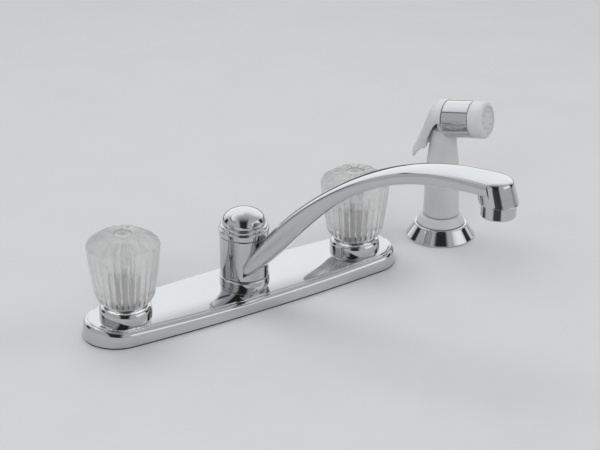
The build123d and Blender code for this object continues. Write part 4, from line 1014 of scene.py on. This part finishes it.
# ---------------------------------------------------------------- side spray
@dataclass
class SideSpray:
    """Side spray in its holder: chrome flange, white liner, grip, banded head, nose and lever."""

    x: float = 190.4
    y: float = 4.2
    heading: float = -64.2
    tilt: float = 9.1
    head_z: float = 100.0
    head_r: float = 14.7
    band_start: float = 4.2
    band_length: float = 22.0
    grip_cut_r: float = 11.1
    nose_length: float = 11.4
    lever_wall: float = 2.0

    def head_place(self) -> Place:
        """Place of the head: z runs along it, y is its upper side and x its left."""
        turn, rise = math.radians(self.heading), math.radians(self.tilt)
        run = np.array([math.cos(turn), math.sin(turn), 0.0])
        z_dir = run * math.cos(rise) + np.array([0, 0, math.sin(rise)])
        x_dir = np.array([-math.sin(turn), math.cos(turn), 0.0])
        y_dir = np.cross(z_dir, x_dir)
        return Place((self.x, self.y, self.head_z), tuple(x_dir), tuple(y_dir), tuple(z_dir))

    def holder(self, frame: dict) -> None:
        """Flange that slopes up from the deck to a rolled rim, the liner in its cup and the nut below."""
        here = upright(self.x, self.y)
        flange = rounded(
            [(13.4, -42.0, 0.3), (15.4, -42.0, 0.4), (15.4, -0.0, 0.0), (27.3, 0.0, 0.2), (27.5, 1.2, 0.6),
             (27.0, 1.9, 0.8), (21.2, 10.4, 1.0), (20.9, 11.4, 0.7), (19.9, 11.75, 0.6), (18.6, 11.5, 0.4),
             (18.0, 11.0, 0.2), (18.0, 3.0, 0.1), (13.4, 3.0, 0.1)]
        )
        dress(revolve("holder_flange", flange, here, 176, sharp=36.0), CHROME, "base", "spray_holder")
        liner = rounded(
            [(12.95, 3.1, 0.1), (17.9, 3.1, 0.1), (17.9, 11.4, 0.1), (19.0, 11.8, 0.2), (19.1, 12.6, 0.7),
             (16.6, 17.2, 1.6), (15.4, 18.6, 1.0), (12.95, 18.7, 0.4)]
        )
        dress(revolve("holder_collar", liner, here), WHITE_PLASTIC, "base", "spray_holder_liner")
        paint(frame, STEEL, "spray_holder_washer")
        paint(frame, BLACK_PLASTIC, "spray_holder_nut")

    def grip(self) -> None:
        """Grip: turned profile whose side is a slow S, with the head's core through its top."""
        here = upright(self.x, self.y)
        side = spline_through([(14.3, 20.2), (13.9, 34.0), (12.8, 63.0), (10.3, 86.0), (9.9, 92.0)], 60)
        profile = np.vstack([
            [[0.0, -4.0], [3.95, -4.0], [10.4, -4.0], [10.6, -3.8], [12.6, 18.9], [13.6, 19.0], [14.05, 19.35]],
            side,
            [[0.0, 98.0]],
        ])
        core = rounded([(0.0, -1.5, 0), (11.6, -1.5, 0.8), (11.6, 4.2, 0.2), (12.95, 4.2, 0.2), (12.95, 26.4, 0.1),
                        (0.0, 26.4, 0)], closed=False)
        skin = Skin("spray_grip")
        for shape, place in ((profile, here), (core, self.head_place())):
            skin.grid(turned(shape, place, 144), True)
        dress(skin.build(40.0), WHITE_PLASTIC, "sprayer", "spray_body")

    def band(self) -> None:
        """Chrome band: a tube round the head whose lower side is cut back round the grip."""
        t = full_turn(240)
        across, up = self.head_r * np.cos(t), self.head_r * np.sin(t)
        rise = math.radians(self.tilt)
        start = np.full_like(t, self.band_start)
        half = np.sqrt(np.maximum(self.grip_cut_r**2 - across**2, 0))
        cut = (half + up * math.sin(rise)) / math.cos(rise)
        start = np.where((up < 0) & (np.abs(across) < self.grip_cut_r), np.maximum(start, cut), start)
        end = self.band_start + self.band_length
        rows = [(back, start + on) for back, on in ((1.6, 0.0), (0.25, 0.0), (0.0, 0.3), (0.0, 0.5))]
        rows += [(0.0, start + (end - start) * share) for share in np.linspace(0.1, 0.9, 9)]
        rows += [(back, end - on) for back, on in ((0.0, 0.5), (0.0, 0.25), (0.25, 0.0), (1.6, 0.0))]
        grid = np.concatenate([ringed(t, self.head_r - back, level) for back, level in rows], axis=1)
        skin = Skin("head_band").grid(self.head_place().put(grid), True, True)
        dress(skin.build(40.0), CHROME, "sprayer", "spray_head_band")

    def nose(self) -> None:
        """Nose cap: a cylinder that rolls over into a flat face, with a shallow seat for the jet disc."""
        start = self.band_start + self.band_length + 0.3
        end = start + self.nose_length
        profile = rounded(
            [(0.0, start, 0), (14.3, start, 0.1), (14.65, start + 0.4, 0.3), (14.65, end, 3.4), (10.9, end, 0),
             (10.9, end - 1.2, 0.1), (10.9, end - 2.5, 0.1), (0.0, end - 2.5, 0)],
            closed=False,
        )
        cap = revolve("nose_shell", profile, self.head_place(), 144, closed=False)
        dress(cap, PALE_PLASTIC, "sprayer", "spray_nose_cap")

    def lever(self) -> None:
        """Lever: a hood over the back of the head that narrows into the thumb end.

        Each section is half an oval of power n between its two front edges and its back:
        across = w sign(sin p) |sin p|^(2/n), back share = cos p^(2/n).
        """
        rise = math.radians(self.tilt)
        run, climb = math.cos(rise), math.sin(rise)
        crown = (3.9 * run - 15.2 * climb, self.head_z + 3.9 * climb + 15.2 * run)
        ear = (3.3 * run, self.head_z + 3.3 * climb)
        backs = [crown, (-2.8, 115.3), (-8.2, 111.0), (-10.9, 106.0), (-13.0, 100.4), (-15.9, 92.4), (-19.3, 84.2),
                 (-22.3, 77.4), (-24.5, 71.6), (-23.9, 69.0)]
        fronts = [ear, (1.6, 101.0), (-1.6, 98.8), (-4.2, 95.2), (-6.2, 91.5), (-8.2, 87.2), (-9.7, 82.0),
                  (-10.3, 77.3), (-15.4, 74.7), (-20.7, 67.4)]
        widths = [15.2, 15.15, 14.8, 13.8, 12.8, 11.8, 11.0, 10.6, 10.6, 10.4]
        powers = [2.0, 2.05, 2.2, 2.45, 2.6, 2.75, 2.8, 2.8, 2.8, 2.8]
        sections = np.arange(len(backs))
        at = np.linspace(0, sections[-1], 90)
        curves = [spline_through([(i, *knot) for i, knot in enumerate(knots)], 600) for knots in (backs, fronts)]
        back, front = (
            np.stack([np.interp(at, curve[:, 0], curve[:, k]) for k in (1, 2)], axis=-1) for curve in curves
        )
        width = np.interp(at, sections, widths)
        n = np.interp(at, sections, powers)[:, None]
        p = np.linspace(-np.pi / 2, np.pi / 2, 61)[None]
        sides = []
        for wall in (0.0, self.lever_wall):
            lean = (back - front) / np.linalg.norm(back - front, axis=1)[:, None]
            b = back - lean * wall
            w = width[:, None] - wall
            c = np.abs(np.cos(p)) ** (2 / n)
            s = np.sign(np.sin(p)) * np.abs(np.sin(p)) ** (2 / n)
            side = front[:, None, :] + (b - front)[:, None, :] * c[..., None]
            sides.append(np.stack([side[..., 0], w * s, side[..., 1]], axis=-1))
        outer, inner = sides
        grid = np.concatenate([outer, inner[:, ::-1]], axis=1)
        ends = [0.5 * (outer + inner)[k] for k in (0, -1)]
        caps = [np.concatenate([e, e[::-1]])[None] for e in ends]
        grid = np.concatenate([caps[0], grid, caps[1]], axis=0)
        place = heading_place(self.heading, self.x, self.y)
        skin = Skin("trigger_lever").grid(place.put(grid), False, True)
        dress(skin.build(46.0), PALE_PLASTIC, "spray_lever", "spray_lever")

    def build(self, frame: dict) -> None:
        """Makes the holder and the spray, and paints the pieces that stay as they are."""
        self.holder(frame)
        self.grip()
        self.band()
        self.nose()
        self.lever()
        paint(frame, WHITE_PLASTIC, "spray_face")
        paint(frame, STEEL, "spray_lever_pin")
        paint(frame, BRASS, "spray_hose_nipple", "spray_plunger")


# ---------------------------------------------------------------- under the deck
@dataclass
class UnderDeck:
    """What is below the deck and inside the plate: casting, threaded shanks, washers and nuts.

    The threads stand out by the ridge from the CAD's shanks, which are plain cylinders.
    """

    shank_r: float = 10.2
    shank_span: tuple[float, float] = (-47.4, -27.4)
    outlet_r: float = 6.6
    outlet_span: tuple[float, float] = (-37.6, -22.0)
    pitch: float = 1.8
    ridge: float = 0.28
    sink: float = 0.04
    depth: float = 0.8

    def thread(self, name: str, x: float, radius: float, span: tuple[float, float]) -> bpy.types.Object:
        """Thread round a shank: radius + ridge * triangle wave of (height / pitch - turn / full turn).

        Args:
            name: name of the piece.
            x: place of the shank's axis along the plate.
            radius: radius of the shank under the thread.
            span: its lowest and highest level.

        Returns:
            The piece, a closed sleeve that reaches a little into the shank.
        """
        turn = full_turn(72)
        level = np.arange(span[0], span[1], self.pitch / 6)[None]
        phase = np.mod(level / self.pitch - turn / (2 * np.pi), 1.0)
        fade = np.clip((level - span[0]) / 1.0, 0, 1) * np.clip((span[1] - level) / 2.0, 0, 1)
        r = radius - self.sink + (self.ridge + self.sink) * (1 - np.abs(2 * phase - 1)) * fade
        ends = [ringed(turn, radius - self.depth, z) for z in (level[0, 0], level[0, -1])]
        grid = np.concatenate([ends[0], ringed(turn, r, level), ends[1]], axis=1)
        return Skin(name).grid(upright(x).put(grid), True, True).build(50.0)

    def build(self, frame: dict) -> None:
        """Cuts the threads and paints the working pieces."""
        for name, x in (side.value for side in Side):
            dress(self.thread(f"{name}_shank_thread", x, self.shank_r, self.shank_span), BRASS, "base")
        dress(self.thread("outlet_thread", 0.0, self.outlet_r, self.outlet_span), BRASS, "base")
        paint(frame, BRASS, "waterway_body", "spray_outlet_nipple")
        paint(frame, GREY_PLASTIC, "diverter_housing", "diverter_poppet")
        paint(frame, BLACK_PLASTIC, "mounting_nuts")
        paint(frame, STEEL, "mounting_washers")


# ---------------------------------------------------------------- studio
@dataclass
class Studio:
    """Pale floor, soft light and the camera of the photograph."""

    eye: tuple[float, float, float] = (-0.649718, -1.030412, 0.613037)
    right: tuple[float, float, float] = (0.82717, -0.56195, 0.0)
    up: tuple[float, float, float] = (0.23304, 0.34302, 0.90996)
    back: tuple[float, float, float] = (-0.51136, -0.75269, 0.41469)
    toward: tuple[float, float] = (-0.56195, -0.82717)
    lens: float = 108.285
    sensor: float = 36.0

    def camera(self) -> None:
        """Camera at the photograph's place."""
        data = bpy.data.cameras.new("photo_camera")
        data.lens, data.sensor_width = self.lens, self.sensor
        data.clip_start, data.clip_end = 0.05, 30.0
        made = bpy.data.objects.new("photo_camera", data)
        bpy.context.scene.collection.objects.link(made)
        turn = Matrix((self.right, self.up, self.back)).transposed()
        made.matrix_world = Matrix.Translation(Vector(self.eye)) @ turn.to_4x4()
        bpy.context.scene.camera = made

    def floor(self) -> None:
        """Large pale floor with a faint mottle, and painted dark reflections: gloss alone sees it dark in front of the
        object and far behind it.
        """
        reach = 6.0
        points = np.array([[[-reach, -reach, 0], [-reach, reach, 0]], [[reach, -reach, 0], [reach, reach, 0]]]) / MM
        piece = Skin("studio_floor").grid(points).build()
        material = bpy.data.materials.new("pale_floor")
        material.use_nodes = True
        sheet = ShaderSheet(material.node_tree)
        mottle = sheet.speckle(60.0, 3.0)
        pale = sheet.blend(mottle, (0.61, 0.615, 0.62), (0.65, 0.655, 0.66))
        apart = sheet.add("ShaderNodeSeparateXYZ", {}, {0: sheet.place()})
        ahead = apart.wire(0) * self.toward[0] + apart.wire(1) * self.toward[1]
        aside = (apart.wire(0) * self.right[0] + apart.wire(1) * self.right[1] - 0.11).size() - ahead * 0.25
        # painted dark reflection: a dark wedge in front of the object and the floor far behind it, seen by glossy rays
        # alone
        dark = ahead.spread(0.27, 0.31, 0.0, 0.95) * aside.spread(0.0, 0.05, 1.0, 0.0)
        dark = dark + (ahead * -1.0).spread(0.55, 0.7, 0.0, 0.9)
        gloss = sheet.add("ShaderNodeLightPath").wire("Is Glossy Ray")
        colour = sheet.blend(dark * gloss, pale, (0.02, 0.02, 0.02))
        sheet.finish({"Base Color": colour, "Roughness": 0.75, "Specular IOR Level": 0.2})
        piece.data.materials.append(material)

    def lamp(self, name: str, place: tuple, aim: tuple, size: tuple[float, float], power: float) -> None:
        """One soft panel lamp.

        Args:
            name: its name.
            place: where it is, in metres.
            aim: the point that it faces.
            size: its width and height in metres.
            power: its power in watts.
        """
        data = bpy.data.lights.new(name, "AREA")
        data.shape, data.size, data.size_y, data.energy = "RECTANGLE", size[0], size[1], power
        made = bpy.data.objects.new(name, data)
        made.visible_glossy = False
        bpy.context.scene.collection.objects.link(made)
        made.location = place
        made.rotation_euler = (Vector(aim) - Vector(place)).to_track_quat("-Z", "Y").to_euler()

    @staticmethod
    def band(value: Wire, rise: tuple[float, float], fall: tuple[float, float]) -> Wire:
        """1 between a rise and a fall, 0 outside them, with smooth edges."""
        return value.spread(*rise, 0.0, 1.0) * value.spread(*fall, 1.0, 0.0)

    def room(self, sheet: ShaderSheet) -> Wire:
        """Brightness of the room that gloss sees, by direction.

        The walls are mid grey. White are the wall behind the object, a panel on the right and one high on the
        left. Dark are the gap in front of it, two side openings, a skirting behind it and a slot under the left
        panel. The direction is given by its turn from the front, in radians, and by its height z, from -1 to 1.
        """
        apart = sheet.add("ShaderNodeSeparateXYZ", {}, {0: sheet.add("ShaderNodeTexCoord").wire("Generated")})
        x, y, z = apart.wire(0), apart.wire(1), apart.wire(2)
        front = x * self.toward[0] + y * self.toward[1]
        side = x * self.right[0] + y * self.right[1]
        turn = side.angle_from(front)
        away = turn.size()
        behind = away.spread(1.9, 2.6, 0.0, 1.0) * z.spread(0.60, 0.97, 1.0, 0.0)
        right_panel = self.band(turn, (0.75, 1.0), (1.5, 1.8)) * self.band(z, (0.04, 0.14), (0.52, 0.68))
        left_panel = turn.spread(-2.1, -0.9, 1.0, 0.0) * self.band(z, (0.69, 0.74), (0.74, 0.99))
        white = 1.0 - (1.0 - behind) * (1.0 - right_panel) * (1.0 - left_panel)
        rise = z.angle_from(front)
        gap = side.size().spread(0.22, 0.42, 1.0, 0.0) * rise.spread(0.95, 2.0, 1.0, 0.0)
        openings = self.band(away, (1.68, 1.76), (2.02, 2.10)) * z.spread(0.40, 0.50, 1.0, 0.0)
        skirting = z.spread(0.02, 0.05, 1.0, 0.0) * (front * -1.0).spread(0.10, 0.22, 0.0, 1.0)
        slot = (z - 0.675).size().spread(0.012, 0.028, 1.0, 0.0) * self.band(turn, (-2.3, -2.0), (-1.0, -0.85))
        lit = (0.54 + white * 0.68) * (1.0 - gap * 0.97) * (1.0 - openings * 0.96) * (1.0 - skirting * 0.9)
        return 0.015 + lit * (1.0 - slot * 0.85)

    def world(self) -> None:
        """Soft even room light; gloss sees the room with its dark parts, the camera a pale wall."""
        scene_world = bpy.data.worlds.new("studio_world")
        bpy.context.scene.world = scene_world
        scene_world.use_nodes = True
        sheet = ShaderSheet(scene_world.node_tree)
        room = sheet.add("ShaderNodeBackground", {}, {"Color": (0.97, 0.985, 1.0, 1.0), "Strength": self.room(sheet)})
        plain, pale = (
            sheet.add("ShaderNodeBackground", {}, {"Color": (0.86, 0.87, 0.88, 1.0), "Strength": strength})
            for strength in (0.62, 0.9)
        )
        path = sheet.add("ShaderNodeLightPath")
        seen = sheet.add("ShaderNodeMixShader", {}, {0: path.wire("Is Camera Ray"), 1: plain, 2: pale})
        mixed = sheet.add("ShaderNodeMixShader", {}, {0: path.wire("Is Glossy Ray"), 1: seen, 2: room})
        sheet.add("ShaderNodeOutputWorld", {}, {"Surface": mixed})

    def build(self) -> None:
        """Sets the stage, and the plain view transform."""
        bpy.context.scene.view_settings.view_transform = "Standard"
        self.camera()
        self.floor()
        self.world()
        self.lamp("left_panel", (-0.9, -0.9, 1.1), (0, 0, 0.05), (0.7, 0.7), 7.0)
        self.lamp("right_panel", (1.2, -0.6, 0.9), (0.05, 0, 0.05), (0.6, 0.8), 3.5)
        self.lamp("top_panel", (0.1, 0.6, 1.4), (0, 0, 0), (1.0, 0.8), 7.0)


def main() -> None:
    """Builds the sub-assemblies in order."""
    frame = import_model()
    builders = [DeckPlate(), Handle(Side.LEFT), Handle(Side.RIGHT), Spout(), SideSpray(), UnderDeck()]
    Studio().build()
    for builder in builders:
        builder.build(frame)
        LOG.info("built %s", type(builder).__name__)


if __name__ == "__main__":
    main()
